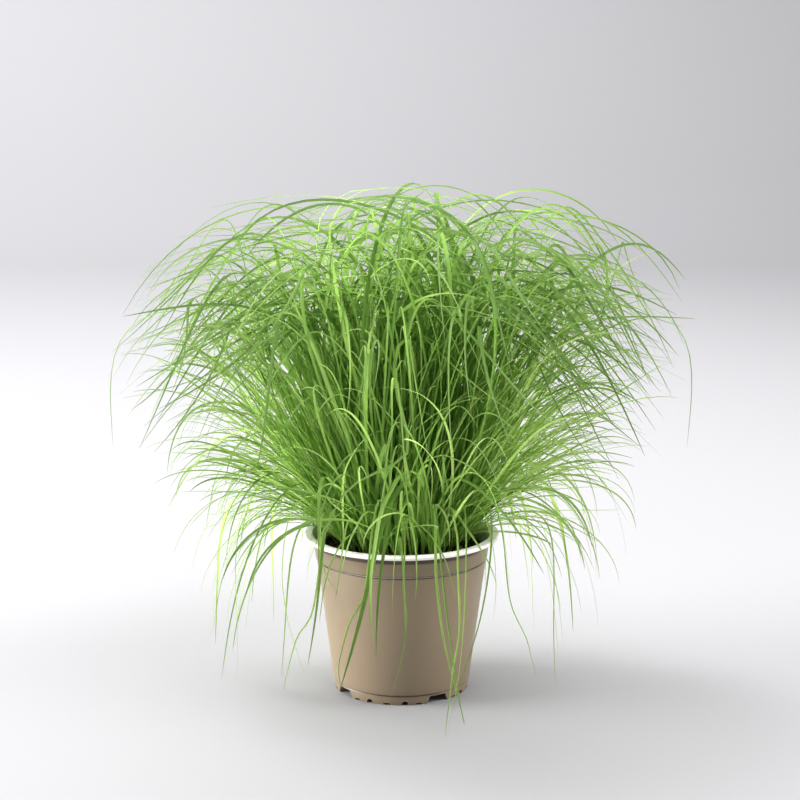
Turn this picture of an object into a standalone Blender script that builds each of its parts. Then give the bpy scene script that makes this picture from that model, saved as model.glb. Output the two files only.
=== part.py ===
"""A pot of cat grass: a thin two-tone nursery pot, its soil, and the shoots of grass that grow from it.

Metres, +Z up. The origin is on the pot's axis, in the plane that its foot stands on. The front is -Y.
"""

import math
import random

import bmesh
import bpy
import numpy as np
from mathutils import Matrix, Vector
from mathutils.bvhtree import BVHTree

MM = 0.001

# Pot
POT_HEIGHT = 98.0 * MM
LIP_RADIUS = 60.0 * MM
LIP_HEIGHT = 2.3 * MM
LIP_INNER_RADIUS = 54.8 * MM
COLLAR_RADIUS = 54.2 * MM
COLLAR_FOOT_RADIUS = 52.9 * MM
COLLAR_FOOT = 82.8 * MM
BODY_RADIUS = 52.2 * MM
BODY_FOOT_RADIUS = 42.2 * MM
FOOT_HEIGHT = 5.9 * MM
FOOT_RADIUS = 41.4 * MM
WALL = 1.2 * MM
FLOOR_TOP = 6.2 * MM
FLOOR_UNDERSIDE = 3.8 * MM
FLOOR_RIM_RADIUS = 36.0 * MM
FLOOR_RIM_UNDERSIDE = 4.8 * MM
POT_SEGMENTS = 40

# Openings round the foot: the quarter turn that repeats, and where it starts
FOOT_QUARTER = 90.0
FOOT_FRONT = -102.5
DRAIN_OFFSET = 45.0
DRAIN_WIDTH = (14.9 * MM, 11.0 * MM)
DRAIN_HEIGHT = 4.6 * MM
NOTCH_OFFSETS = (-27.5, -15.5, 0.0, 15.5, 27.5)
TALL_NOTCH = (3.6 * MM, 2.5 * MM)
LOW_NOTCH = (4.4 * MM, 1.3 * MM)

# Soil
SOIL_RADIUS = 51.7 * MM
SOIL_EDGE = 87.5 * MM
SOIL_MOUND = 2.6 * MM
SOIL_SEGMENTS = 20
GAP = 0.3 * MM

# Grass
SHOOTS = 38
SHOOT_FIELD = 40.5 * MM
GOLDEN_ANGLE = math.radians(137.508)
SHEATH_RADIUS = 2.3 * MM
SHEATH_HEIGHT = (8.0 * MM, 13.0 * MM)
BLADES_PER_SHOOT = 5
BLADE_SEGMENTS = 6
LONG_BLADE_SEGMENTS = 7
GRASS_TOP = 311.0 * MM
GRASS_SHOULDER = 205.0 * MM
GRASS_MIDDLE = 150.0 * MM
GRASS_REACH = 177.0 * MM
GRASS_LOW_REACH = 113.0 * MM
DOME_POWER = 2.6
BLADE_WIDTH = (1.9 * MM, 3.1 * MM)
REACH_BLADE_WIDTH = 2.4 * MM
YOUNG_BLADE = (1.6 * MM, 12.0 * MM)
BLADE_GAP = 0.5 * MM
POT_CLEARANCE = 3.5 * MM
FLOOR_CLEARANCE = 3.5 * MM
MOST_TRIES = 500
SEED = 12

# Blades that hang over the front of the pot or stand out at the top, each through (x, y, z) in mm,
# with its width in mm, from where it leaves the shoot to its tip
MARKED_BLADES = (
    (4.6, (8, -42, 128), (4, -54, 149), (-11, -67, 126), (-19, -75, 84), (-29, -80, 48), (-36, -82, 24)),
    (2.6, (-3, -46, 122), (-5, -56, 136), (-10, -70, 107), (-14, -76, 76), (-15, -79, 43)),
    (2.8, (18, -43, 122), (19, -56, 137), (22, -74, 109), (28, -92, 56), (36, -103, 10)),
    (2.8, (33, -30, 122), (37, -48, 136), (38, -73, 101), (33, -106, 38), (25, -117, 6)),
    (2.8, (42, -20, 122), (49, -36, 138), (54, -59, 117), (46, -82, 66), (32, -90, 26)),
    (2.4, (-30, -22, 124), (-36, -34, 141), (-44, -52, 124), (-50, -70, 66), (-55, -75, 37)),
    (2.4, (20, -34, 134), (34, -50, 146), (52, -60, 134), (72, -62, 110), (84, -60, 88)),
    (2.6, (-44, -14, 124), (-60, -20, 140), (-84, -26, 112), (-102, -27, 60), (-110, -28, 12)),
    (2.6, (30, 28, 128), (60, 50, 150), (92, 58, 118), (108, 62, 62), (112, 64, 14)),
    (2.8, (-30, -10, 190), (-46, -12, 252), (-40, -12, 290), (-19, -6, 309), (10, 6, 308), (34, 16, 288)),
)

# Blades that reach furthest to each side: azimuth in degrees, furthest reach and its height, tip height
REACH_BLADES = ((0.0, 178.0, 214.0, 150.0), (90.0, 175.0, 206.0, 146.0), (180.0, 178.0, 210.0, 152.0),
                (270.0, 175.0, 196.0, 132.0))

SHARP_ANGLE = math.radians(35.0)
LEAF_SHARP_ANGLE = math.radians(75.0)
TAUPE = (0.434, 0.328, 0.219, 1.0)
SOIL_BROWN = (0.018, 0.009, 0.006, 1.0)
LEAF_GREENS = ((0.120, 0.290, 0.035, 1.0), (0.170, 0.370, 0.050, 1.0), (0.085, 0.220, 0.028, 1.0))


def polar(radius, degrees, height):
    angle = math.radians(degrees)
    return Vector((radius * math.cos(angle), radius * math.sin(angle), height))


def clear_scene():
    for obj in list(bpy.data.objects):
        bpy.data.objects.remove(obj, do_unlink=True)


def material(name, colour, roughness):
    made = bpy.data.materials.new(name)
    made.use_nodes = True
    shader = made.node_tree.nodes["Principled BSDF"]
    shader.inputs["Base Color"].default_value = colour
    shader.inputs["Roughness"].default_value = roughness
    shader.inputs["Metallic"].default_value = 0.0
    return made


def object_from(name, bm, finish, sharp_angle=SHARP_ANGLE):
    mesh = bpy.data.meshes.new(name)
    bm.to_mesh(mesh)
    bm.free()
    mesh.shade_smooth()
    mesh.set_sharp_from_angle(angle=sharp_angle)
    obj = bpy.data.objects.new(name, mesh)
    bpy.context.scene.collection.objects.link(obj)
    if finish:
        mesh.materials.append(finish)
    return obj


def turned(profile, segments):
    """A closed solid turned about Z from (radius, height) points that start and end on the axis."""
    bm = bmesh.new()
    verts = [bm.verts.new((radius, 0.0, height)) for radius, height in profile]
    edges = [bm.edges.new(pair) for pair in zip(verts, verts[1:])]
    bmesh.ops.spin(bm, geom=verts + edges, cent=(0, 0, 0), axis=(0, 0, 1), angle=math.tau, steps=segments,
                   use_merge=True)
    bmesh.ops.remove_doubles(bm, verts=bm.verts, dist=0.01 * MM)
    bmesh.ops.recalc_face_normals(bm, faces=bm.faces)
    return bm


# Pot

def pot_profile():
    """The wall's section: up the inside from the floor's centre, over the lip, and down the outside."""
    top = POT_HEIGHT
    under_lip = top - LIP_HEIGHT
    groove_depth = 0.9 * MM
    inside = [
        (0.0, FLOOR_TOP),
        (BODY_FOOT_RADIUS - WALL - 0.2 * MM, FLOOR_TOP),
        (BODY_RADIUS - WALL, COLLAR_FOOT - 0.6 * MM),
        (COLLAR_FOOT_RADIUS - WALL, COLLAR_FOOT + 0.4 * MM),
        (COLLAR_RADIUS - WALL, top - 3.6 * MM),
        (LIP_INNER_RADIUS, top),
    ]
    lip = [
        (LIP_RADIUS - 0.5 * MM, top),
        (LIP_RADIUS, top - 0.6 * MM),
        (LIP_RADIUS, under_lip + 0.4 * MM),
        (LIP_RADIUS - 0.4 * MM, under_lip),
        (COLLAR_RADIUS, under_lip),
    ]
    outside = [
        (COLLAR_FOOT_RADIUS, COLLAR_FOOT + 0.4 * MM),
        (COLLAR_FOOT_RADIUS - groove_depth, COLLAR_FOOT),
        (BODY_RADIUS, COLLAR_FOOT - 0.6 * MM),
        (BODY_FOOT_RADIUS, FOOT_HEIGHT + 0.3 * MM),
        (FOOT_RADIUS - 0.4 * MM, FOOT_HEIGHT),
        (FOOT_RADIUS, FOOT_HEIGHT - 0.5 * MM),
        (FOOT_RADIUS - 0.2 * MM, 0.0),
    ]
    underside = [
        (FOOT_RADIUS - 1.7 * MM, 0.0),
        (FOOT_RADIUS - 2.0 * MM, FLOOR_RIM_UNDERSIDE),
        (FLOOR_RIM_RADIUS, FLOOR_RIM_UNDERSIDE),
        (FLOOR_RIM_RADIUS - 2.0 * MM, FLOOR_UNDERSIDE),
        (0.0, FLOOR_UNDERSIDE),
    ]
    return inside + lip + outside + underside


def notch_outline(width, height):
    """(sideways, up) points of a round-topped notch that starts below the foot."""
    half = width / 2
    return [(-half, -MM), (half, -MM), (half, 0.45 * height), (0.6 * half, 0.88 * height), (0.0, height),
            (-0.6 * half, 0.88 * height), (-half, 0.45 * height)]


def add_radial_prism(bm, outline, degrees, inner, outer):
    """A prism of the outline's section that runs outwards at an azimuth, to cut the foot with."""
    turn = Matrix.Rotation(math.radians(degrees), 4, "Z")
    near = [bm.verts.new(turn @ Vector((inner, side, up))) for side, up in outline]
    far = [bm.verts.new(turn @ Vector((outer, side, up))) for side, up in outline]
    count = len(outline)
    bm.faces.new(near)
    bm.faces.new(reversed(far))
    for k in range(count):
        bm.faces.new((near[k], far[k], far[(k + 1) % count], near[(k + 1) % count]))


def foot_cutters():
    """The drain openings and notches of the foot, with the slots that lead water to the openings."""
    bm = bmesh.new()
    inner, outer = FLOOR_RIM_RADIUS + 0.5 * MM, FOOT_RADIUS + 2.1 * MM
    low_half, top_half = (width / 2 for width in DRAIN_WIDTH)
    spread = (low_half - top_half) * MM / DRAIN_HEIGHT
    drain = [(-low_half - spread, -MM), (low_half + spread, -MM), (top_half, DRAIN_HEIGHT),
             (-top_half, DRAIN_HEIGHT)]
    slot_half, slot_foot, slot_top = 5.0 * MM, DRAIN_HEIGHT - 0.2 * MM, FLOOR_TOP + 1.3 * MM
    slot = [(-slot_half, slot_foot), (slot_half, slot_foot), (slot_half, slot_top), (-slot_half, slot_top)]
    for quarter in range(4):
        middle = FOOT_FRONT + quarter * FOOT_QUARTER
        add_radial_prism(bm, drain, middle + DRAIN_OFFSET, inner, outer)
        add_radial_prism(bm, slot, middle + DRAIN_OFFSET, inner + 0.2 * MM, FOOT_RADIUS - 2.8 * MM)
        for k, offset in enumerate(NOTCH_OFFSETS):
            size = TALL_NOTCH if k % 2 else LOW_NOTCH
            add_radial_prism(bm, notch_outline(*size), middle + offset, FOOT_RADIUS - 3.0 * MM, outer)
    bmesh.ops.recalc_face_normals(bm, faces=bm.faces)
    return object_from("foot_cutters", bm, None)


def make_pot():
    """The turned shell, with the openings cut through its foot."""
    pot = object_from("pot", turned(pot_profile(), POT_SEGMENTS), material("taupe plastic", TAUPE, 0.42))
    cutters = foot_cutters()
    cut = pot.modifiers.new("foot openings", "BOOLEAN")
    cut.operation = "DIFFERENCE"
    cut.solver = "EXACT"
    cut.object = cutters
    graph = bpy.context.evaluated_depsgraph_get()
    shell = bpy.data.meshes.new_from_object(pot.evaluated_get(graph))
    pot.modifiers.remove(cut)
    bpy.data.objects.remove(cutters)
    pot.data = shell
    shell.shade_smooth()
    shell.set_sharp_from_angle(angle=SHARP_ANGLE)


# Soil

def make_soil():
    """A plug that fills the pot to below the lip, with a low, uneven mound, and its surface for rays."""
    profile = [
        (0.0, FLOOR_TOP + GAP),
        (BODY_FOOT_RADIUS - WALL - 0.7 * MM, FLOOR_TOP + GAP),
        (BODY_RADIUS - WALL - 0.4 * MM, COLLAR_FOOT - 0.6 * MM),
        (COLLAR_FOOT_RADIUS - WALL - 0.4 * MM, COLLAR_FOOT + 0.6 * MM),
        (SOIL_RADIUS, SOIL_EDGE),
        (0.89 * SOIL_RADIUS, SOIL_EDGE + 0.5 * SOIL_MOUND),
        (0.54 * SOIL_RADIUS, SOIL_EDGE + 0.85 * SOIL_MOUND),
        (0.0, SOIL_EDGE + SOIL_MOUND),
    ]
    bm = turned(profile, SOIL_SEGMENTS)
    for vert in bm.verts:
        if vert.co.z > SOIL_EDGE - 0.1 * MM:
            angle = math.atan2(vert.co.y, vert.co.x)
            wave = math.sin(3.0 * angle + 0.6) + 0.7 * math.sin(7.0 * angle + 60.0 * vert.co.length)
            vert.co.z += 0.35 * MM * wave
    surface = BVHTree.FromBMesh(bm)
    return object_from("soil", bm, material("potting soil", SOIL_BROWN, 0.95)), surface


# Grass

def arched_path(root, azimuth, lean, droop, tip, rise, steps=30):
    """A blade's line: it leaves the root leaning one way, arches over and reaches its tip drooping."""
    def towards(angle):
        out = math.sin(angle)
        return Vector((out * math.cos(azimuth), out * math.sin(azimuth), math.cos(angle)))

    handle = rise * (tip - root).length
    near, far = root + towards(lean) * handle, tip - towards(droop) * handle * 0.8
    line = []
    for k in range(steps + 1):
        t = k / steps
        left = 1.0 - t
        line.append(root * left ** 3 + near * (3 * t * left ** 2) + far * (3 * t ** 2 * left) + tip * t ** 3)
    return line


def curve_through(points, steps=8):
    """A smooth line through the points."""
    ends = [2 * points[0] - points[1]] + points + [2 * points[-1] - points[-2]]
    line = [points[0].copy()]
    for p0, p1, p2, p3 in zip(ends, ends[1:], ends[2:], ends[3:]):
        for k in range(1, steps + 1):
            t = k / steps
            line.append(0.5 * (2 * p1 + (p2 - p0) * t + (2 * p0 - 5 * p1 + 4 * p2 - p3) * t ** 2
                               + (3 * p1 - p0 - 3 * p2 + p3) * t ** 3))
    return line


def resampled(points, segments, bend_share=0.45):
    """The same line in few steps, shorter where it bends."""
    line = np.array(points)
    steps = np.diff(line, axis=0)
    lengths = np.linalg.norm(steps, axis=1)
    heads = steps / lengths[:, None]
    turns = np.arccos(np.clip((heads[1:] * heads[:-1]).sum(axis=1), -1.0, 1.0))
    turns = np.concatenate((turns, turns[-1:]))
    measure = (1.0 - bend_share) * lengths / lengths.sum() + bend_share * turns / max(turns.sum(), 1e-6)
    along = np.concatenate(([0.0], np.cumsum(measure)))
    wanted = np.linspace(0.0, along[-1], segments + 1)
    return np.stack([np.interp(wanted, along, line[:, axis]) for axis in range(3)], axis=1)


def segment_distances(starts, ends, other_starts, other_ends):
    """The least distance of each segment of one set to each segment of another."""
    d1 = (ends - starts)[:, None, :]
    d2 = (other_ends - other_starts)[None, :, :]
    r = starts[:, None, :] - other_starts[None, :, :]
    a, e = (d1 * d1).sum(-1), (d2 * d2).sum(-1)
    b, c, f = (d1 * d2).sum(-1), (d1 * r).sum(-1), (d2 * r).sum(-1)
    denominator = np.maximum(a * e - b * b, 1e-18)
    s = np.clip((b * f - c * e) / denominator, 0.0, 1.0)
    t = np.clip((b * s + f) / e, 0.0, 1.0)
    s = np.clip((b * t - c) / a, 0.0, 1.0)
    return np.linalg.norm(r + d1 * s[..., None] - d2 * t[..., None], axis=-1)


def reach_at(height):
    """How far from the axis the grass reaches at a height."""
    if height >= GRASS_SHOULDER:
        up = min((height - GRASS_SHOULDER) / (GRASS_TOP - GRASS_SHOULDER), 1.0)
        return GRASS_REACH * (1.0 - up ** DOME_POWER) ** (1.0 / DOME_POWER)
    return GRASS_LOW_REACH + (GRASS_REACH - GRASS_LOW_REACH) * max(height / GRASS_SHOULDER, 0.0) ** 0.9


def outline_distance(fall):
    """How far the plant's outline is from the middle of the grass, at an angle from upright."""
    near, far = 0.0, 0.25
    for _ in range(24):
        middle = (near + far) / 2
        height = GRASS_MIDDLE + middle * math.cos(fall)
        if height < GRASS_TOP and height > FLOOR_CLEARANCE and middle * math.sin(fall) < reach_at(height):
            near = middle
        else:
            far = middle
    return near


def pot_radius_at(height):
    """The pot's outer radius at a height, for blades that hang beside it."""
    if height > POT_HEIGHT - LIP_HEIGHT - 4.0 * MM:
        return LIP_RADIUS
    return BODY_FOOT_RADIUS + (COLLAR_RADIUS - BODY_FOOT_RADIUS) * max(height, 0.0) / COLLAR_FOOT


def blade_fits(path, width, placed):
    """Whether a blade stays in the plant's outline, clear of the pot, the floor and other blades."""
    fine = resampled(path, 40, 0.0)
    radii = np.hypot(fine[:, 0], fine[:, 1])
    for radius, height in zip(radii, fine[:, 2]):
        inside_rim = radius < LIP_INNER_RADIUS - 3.0 * MM - width / 2
        if height < FLOOR_CLEARANCE + MM or radius > reach_at(height) or height > GRASS_TOP:
            return False
        near_pot = radius < pot_radius_at(height) + POT_CLEARANCE
        if height < POT_HEIGHT + 3.0 * MM and near_pot and not inside_rim:
            return False
    if not placed:
        return True
    starts = np.concatenate([line[:-1] for line, _ in placed])
    ends = np.concatenate([line[1:] for line, _ in placed])
    widths = np.concatenate([np.full(len(line) - 1, other) for line, other in placed])
    gaps = segment_distances(path[:-1], path[1:], starts, ends)
    return bool((gaps > (widths[None, :] + width) / 2 + BLADE_GAP).all())


def shoot_bases(rng):
    """Where the shoots stand: a sunflower pattern over the soil, shifted a little."""
    bases = []
    for k in range(SHOOTS):
        radius = SHOOT_FIELD * math.sqrt((k + 0.5) / SHOOTS)
        angle = k * GOLDEN_ANGLE
        shift = Vector((rng.uniform(-1.2, 1.2), rng.uniform(-1.2, 1.2), 0.0)) * MM
        bases.append(Vector((radius * math.cos(angle), radius * math.sin(angle), 0.0)) + shift)
    return bases


def marked_paths():
    """(width, points) of the blades that are placed by hand."""
    paths = [(width * MM, [Vector(point) * MM for point in points]) for width, *points in MARKED_BLADES]
    for azimuth, reach, height, tip in REACH_BLADES:
        paths.append((REACH_BLADE_WIDTH, [
            polar(0.34 * reach, azimuth - 5.0, 0.86 * height) * MM,
            polar(0.66 * reach, azimuth - 3.0, 1.12 * height) * MM,
            polar(0.90 * reach, azimuth, 1.12 * height) * MM,
            polar(reach, azimuth, height) * MM,
            polar(0.985 * reach, azimuth + 2.0, tip) * MM,
        ]))
    return paths


def sheath_rings(base, radius, height, lean, azimuth, surface):
    """The corners of a shoot's sheath on the soil, those at its top, and the middle of its top."""
    axis = Vector((math.sin(lean) * math.cos(azimuth), math.sin(lean) * math.sin(azimuth), math.cos(lean)))
    turns = [azimuth - math.pi / BLADES_PER_SHOOT + math.tau * k / BLADES_PER_SHOOT
             for k in range(BLADES_PER_SHOOT)]
    foot = [base + Vector((math.cos(turn), math.sin(turn), 0.0)) * radius for turn in turns]
    high = max(surface.ray_cast(point + Vector((0, 0, 0.2)), Vector((0, 0, -1)))[0].z
               for point in foot + [base])
    for point in foot:
        point.z = high + GAP
    tilt = Vector((0, 0, 1)).rotation_difference(axis)
    centre = Vector((base.x, base.y, high + GAP)) + axis * height
    top = [centre + tilt @ Vector((math.cos(turn), math.sin(turn), 0.0)) * radius for turn in turns]
    return foot, top, centre


def random_blade(rng, root, azimuth, share, side, youth):
    """A candidate line: the further out its shoot and its side of the shoot, the lower its tip hangs."""
    facing = math.cos(side)
    spread = rng.uniform(10.0, 34.0) + 26.0 * (1.0 - share)
    heading = azimuth + math.radians(spread * math.sin(side) + rng.gauss(0, 9))
    if facing < -0.5 and share < 0.45:
        heading += math.pi
    fall = 16.0 + 84.0 * share + 30.0 * facing + rng.uniform(-24.0, 24.0)
    fall = math.radians(min(max(fall, 6.0), 146.0))
    reach = rng.uniform(0.82, 1.0) * (1.0 - 0.5 * youth) * outline_distance(fall)
    tip = Vector((reach * math.sin(fall) * math.cos(heading), reach * math.sin(fall) * math.sin(heading),
                  GRASS_MIDDLE + reach * math.cos(fall)))
    lean = 0.36 * fall + math.radians(rng.uniform(-4.0, 4.0))
    droop = min(fall + math.radians(rng.uniform(36.0, 66.0)), math.radians(174.0))
    rise = 0.40 + 0.30 * (fall / math.pi) ** 2 + rng.uniform(0.0, 0.06)
    return arched_path(root, heading, lean, droop, tip, rise)


def plan_shoots(surface):
    """Every shoot as (foot ring, top ring, centre, blades), each blade a (path, width), none touching."""
    rng = random.Random(SEED)
    bases = shoot_bases(rng)
    marked = {}
    for width, points in marked_paths():
        start = points[0]
        order = sorted(range(SHOOTS), key=lambda k: (bases[k].xy - 0.75 * start.xy).length)
        owner = next(k for k in order if k not in marked)
        marked[owner] = (width, points)
    order = sorted(marked) + [k for k in range(SHOOTS) if k not in marked]
    sheaths, placed = {}, []
    grown = {k: {} for k in order}
    for k in order:
        base = bases[k]
        share = base.length / SHOOT_FIELD
        lean = math.radians(2.0 + 26.0 * share ** 1.3)
        azimuth = math.atan2(base.y, base.x)
        if k in marked:
            first = marked[k][1][0]
            azimuth = math.atan2(first.y - base.y, first.x - base.x)
        rings = sheath_rings(base, SHEATH_RADIUS, rng.uniform(*SHEATH_HEIGHT), lean, azimuth, surface)
        sheaths[k] = (share, azimuth) + rings
        stem = np.array([base + Vector((0, 0, SOIL_EDGE)), rings[2]])
        placed.append((k, stem, 2 * SHEATH_RADIUS))
    for k in sorted(marked):
        root = blade_root(sheaths[k], 0)
        width, points = marked[k]
        path = resampled(curve_through([root] + points), LONG_BLADE_SEGMENTS)
        grown[k][0] = (path, width)
        placed.append((k, path, width))
    for k in order:
        share, azimuth = sheaths[k][:2]
        for n in range(BLADES_PER_SHOOT):
            if n in grown[k]:
                continue
            grown[k][n] = grown_blade(rng, k, blade_root(sheaths[k], n), azimuth, share, n, placed)
            placed.append((k,) + grown[k][n])
    return [sheaths[k][2:] + ([grown[k][n] for n in range(BLADES_PER_SHOOT)],) for k in order]


def blade_root(sheath, n):
    """The middle of the part of a sheath's top that one blade grows from."""
    top, centre = sheath[3:]
    return (centre + top[n] + top[(n + 1) % BLADES_PER_SHOOT]) / 3


def grown_blade(rng, shoot, root, azimuth, share, n, placed):
    """The first candidate that touches nothing: after many tries they get younger, so shorter."""
    side = math.tau * n / BLADES_PER_SHOOT
    others = [(line, width) for owner, line, width in placed if owner != shoot]
    siblings = [(line[1:], width) for owner, line, width in placed if owner == shoot and len(line) > 2]
    for attempt in range(MOST_TRIES):
        width = rng.uniform(*BLADE_WIDTH)
        youth = max(0.0, 2.0 * attempt / MOST_TRIES - 1.0)
        path = resampled(random_blade(rng, root, azimuth, share, side, youth), BLADE_SEGMENTS)
        if blade_fits(path, width, others) and blade_fits(path[1:], width, siblings):
            return path, width
    width, length = YOUNG_BLADE
    return np.linspace(root, root + Vector((0.0, 0.0, length)), 3), width


def add_blade(bm, corners, path, width):
    """Grows one blade from a triangle of the sheath's top: two edges and a ridge that end in a tip."""
    centre, right, left = corners
    inwards = (centre.co - (right.co + left.co) / 2).normalized()
    count = len(path) - 1
    ring = list(corners)
    for k in range(1, count + 1):
        point = Vector(path[k])
        if k == count:
            tip = bm.verts.new(point)
            for n in range(3):
                bm.faces.new((ring[n], ring[(n + 1) % 3], tip))
            return
        ahead = (Vector(path[k + 1]) - Vector(path[k - 1])).normalized()
        inwards = (inwards - inwards.dot(ahead) * ahead).normalized()
        side = ahead.cross(inwards)
        share = k / count
        half = 0.5 * width * (1.0 - 0.62 * share ** 2)
        thick = (1.15 - 0.6 * share) * MM
        spots = (point + inwards * thick * 2 / 3, point + side * half - inwards * thick / 3,
                 point - side * half - inwards * thick / 3)
        grown = [bm.verts.new(spot) for spot in spots]
        for n in range(3):
            bm.faces.new((ring[n], ring[(n + 1) % 3], grown[(n + 1) % 3], grown[n]))
        ring = grown


def make_shoot(name, foot, top, centre, blades, finish):
    """One shoot, which grew as one piece: its sheath, and the blades that fan out from it."""
    bm = bmesh.new()
    low = [bm.verts.new(point) for point in foot]
    high = [bm.verts.new(point) for point in top]
    middle = bm.verts.new(centre)
    bm.faces.new(low)
    for k in range(BLADES_PER_SHOOT):
        after = (k + 1) % BLADES_PER_SHOOT
        bm.faces.new((low[k], low[after], high[after], high[k]))
        path, width = blades[k]
        add_blade(bm, (middle, high[k], high[after]), path, width)
    bmesh.ops.recalc_face_normals(bm, faces=bm.faces)
    bmesh.ops.triangulate(bm, faces=bm.faces)
    return object_from(name, bm, finish, LEAF_SHARP_ANGLE)


def make_grass(surface):
    greens = [material(f"leaf green {k + 1}", colour, 0.5) for k, colour in enumerate(LEAF_GREENS)]
    for k, (foot, top, centre, blades) in enumerate(plan_shoots(surface)):
        make_shoot(f"shoot_{k + 1:02d}", foot, top, centre, blades, greens[k % len(greens)])


clear_scene()
make_pot()
soil_object, soil_surface = make_soil()
make_grass(soil_surface)
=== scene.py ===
"""A pot of cat grass on a plain pale floor: its finished surfaces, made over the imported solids."""

import functools
import math

import bmesh
import bpy
import numpy as np
from mathutils import Matrix, Vector, noise


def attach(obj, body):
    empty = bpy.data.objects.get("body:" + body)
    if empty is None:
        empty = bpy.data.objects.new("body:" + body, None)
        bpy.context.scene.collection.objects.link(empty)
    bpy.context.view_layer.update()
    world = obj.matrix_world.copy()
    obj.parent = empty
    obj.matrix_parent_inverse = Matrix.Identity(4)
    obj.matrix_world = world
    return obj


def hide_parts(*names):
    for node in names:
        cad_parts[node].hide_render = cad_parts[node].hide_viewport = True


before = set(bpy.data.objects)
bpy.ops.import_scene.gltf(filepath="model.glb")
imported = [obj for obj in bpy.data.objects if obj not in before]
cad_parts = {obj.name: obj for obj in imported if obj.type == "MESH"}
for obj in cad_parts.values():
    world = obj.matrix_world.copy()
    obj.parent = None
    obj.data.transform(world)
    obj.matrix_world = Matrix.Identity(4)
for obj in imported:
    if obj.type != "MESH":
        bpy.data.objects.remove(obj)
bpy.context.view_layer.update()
scene = bpy.context.scene


def add_object(name, data):
    """Puts a mesh, a light or a camera in the scene, unturned at the origin."""
    piece = bpy.data.objects.new(name, data)
    scene.collection.objects.link(piece)
    return piece


# Camera
# It stands 1.3 m in front of the pot's axis, at the height and with the lens that put the pot's lip,
# sides and foot where the photograph shows them: it looks down 11.4 degrees.
CAMERA_PLACE = (-0.0009, -1.3, 0.4425)
CAMERA_DOWN = math.radians(11.39)
LENS = 98.1
SENSOR = 36.0
camera = add_object("camera", bpy.data.cameras.new("camera"))
camera.location = CAMERA_PLACE
camera.rotation_euler = (math.pi / 2 - CAMERA_DOWN, 0.0, 0.0)
camera.data.lens = LENS
camera.data.sensor_width = SENSOR
scene.camera = camera

# Pot
# The real pot is one thin shell of polypropylene, moulded in one shot: a flat flared lip, a straight
# collar that ends in a fine groove, a tapering body, and a foot ring with openings for the water.
# It is white on the lip and inside, and taupe outside.
MM = 0.001
POT_HEIGHT = 98.0 * MM
LIP_RADIUS = 60.0 * MM
LIP_HEIGHT = 2.3 * MM
LIP_INNER_RADIUS = 54.8 * MM
COLLAR_RADIUS = 54.2 * MM
COLLAR_FOOT_RADIUS = 52.9 * MM
COLLAR_FOOT = 82.8 * MM
BODY_RADIUS = 52.2 * MM
BODY_FOOT_RADIUS = 42.2 * MM
FOOT_HEIGHT = 5.9 * MM
FOOT_RADIUS = 41.4 * MM
WALL = 1.2 * MM
FLOOR_TOP = 6.2 * MM
FLOOR_UNDERSIDE = 3.8 * MM
FLOOR_RIM_RADIUS = 36.0 * MM
FLOOR_RIM_UNDERSIDE = 4.8 * MM
POT_SEGMENTS = 160
CORNER_EASE = 0.35 * MM

FOOT_FRONT = -102.5
DRAIN_OFFSET = 45.0
DRAIN_WIDTH = (14.9 * MM, 11.0 * MM)
DRAIN_HEIGHT = 4.6 * MM
NOTCH_OFFSETS = (-27.5, -15.5, 0.0, 15.5, 27.5)
TALL_NOTCH = (3.6 * MM, 2.5 * MM)
LOW_NOTCH = (4.4 * MM, 1.3 * MM)

# Painted shade on the outside, from 0 to 1, at shares of the way up its span: darker on the foot ring, in
# the foot's groove, in the collar's groove and under the lip, where shade falls
PAINTED_SHADE_SPAN = 100.0 * MM
PAINTED_SHADE_SHARES = (
    (0.0, 0.0), (0.001, 0.34), (0.053, 0.3), (0.056, 1.0), (0.063, 1.0), (0.067, 0.12), (0.1, 0.0),
    (0.8185, 0.0), (0.8225, 1.0), (0.8345, 1.0), (0.838, 0.0), (0.914, 0.0), (0.921, 1.0), (1.0, 1.0))


def linear(code):
    """An sRGB hex colour as the linear colour that a shader takes."""
    channels = [int(code[k:k + 2], 16) / 255 for k in (1, 3, 5)]
    return tuple(c / 12.92 if c <= 0.04045 else ((c + 0.055) / 1.055) ** 2.4 for c in channels) + (1.0,)


def add_node(tree, kind, inputs=(), **settings):
    """Adds a node with its settings, and fills its inputs with values or with links from outputs.

    A node that is given for an input is linked from the first of its outputs that is in use."""
    node = tree.nodes.new(kind)
    for name, value in settings.items():
        setattr(node, name, value)
    for key, value in dict(inputs).items():
        if isinstance(value, bpy.types.Node):
            value = next(output for output in value.outputs if output.enabled)
        if isinstance(value, bpy.types.NodeSocket):
            tree.links.new(value, node.inputs[key])
        else:
            node.inputs[key].default_value = value
    return node


def fill_ramp(ramp, stops):
    """Sets a colour ramp's stops, given in order as their places and linear colours."""
    first, last = ramp.elements
    (first.position, first.color), *between, (last.position, last.color) = stops
    for place, colour in between:
        ramp.elements.new(place).color = colour


def new_finish(name):
    """An empty material, and add_node for its tree."""
    finish = bpy.data.materials.new(name)
    finish.use_nodes = True
    finish.node_tree.nodes.clear()
    return finish, functools.partial(add_node, finish.node_tree)


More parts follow.
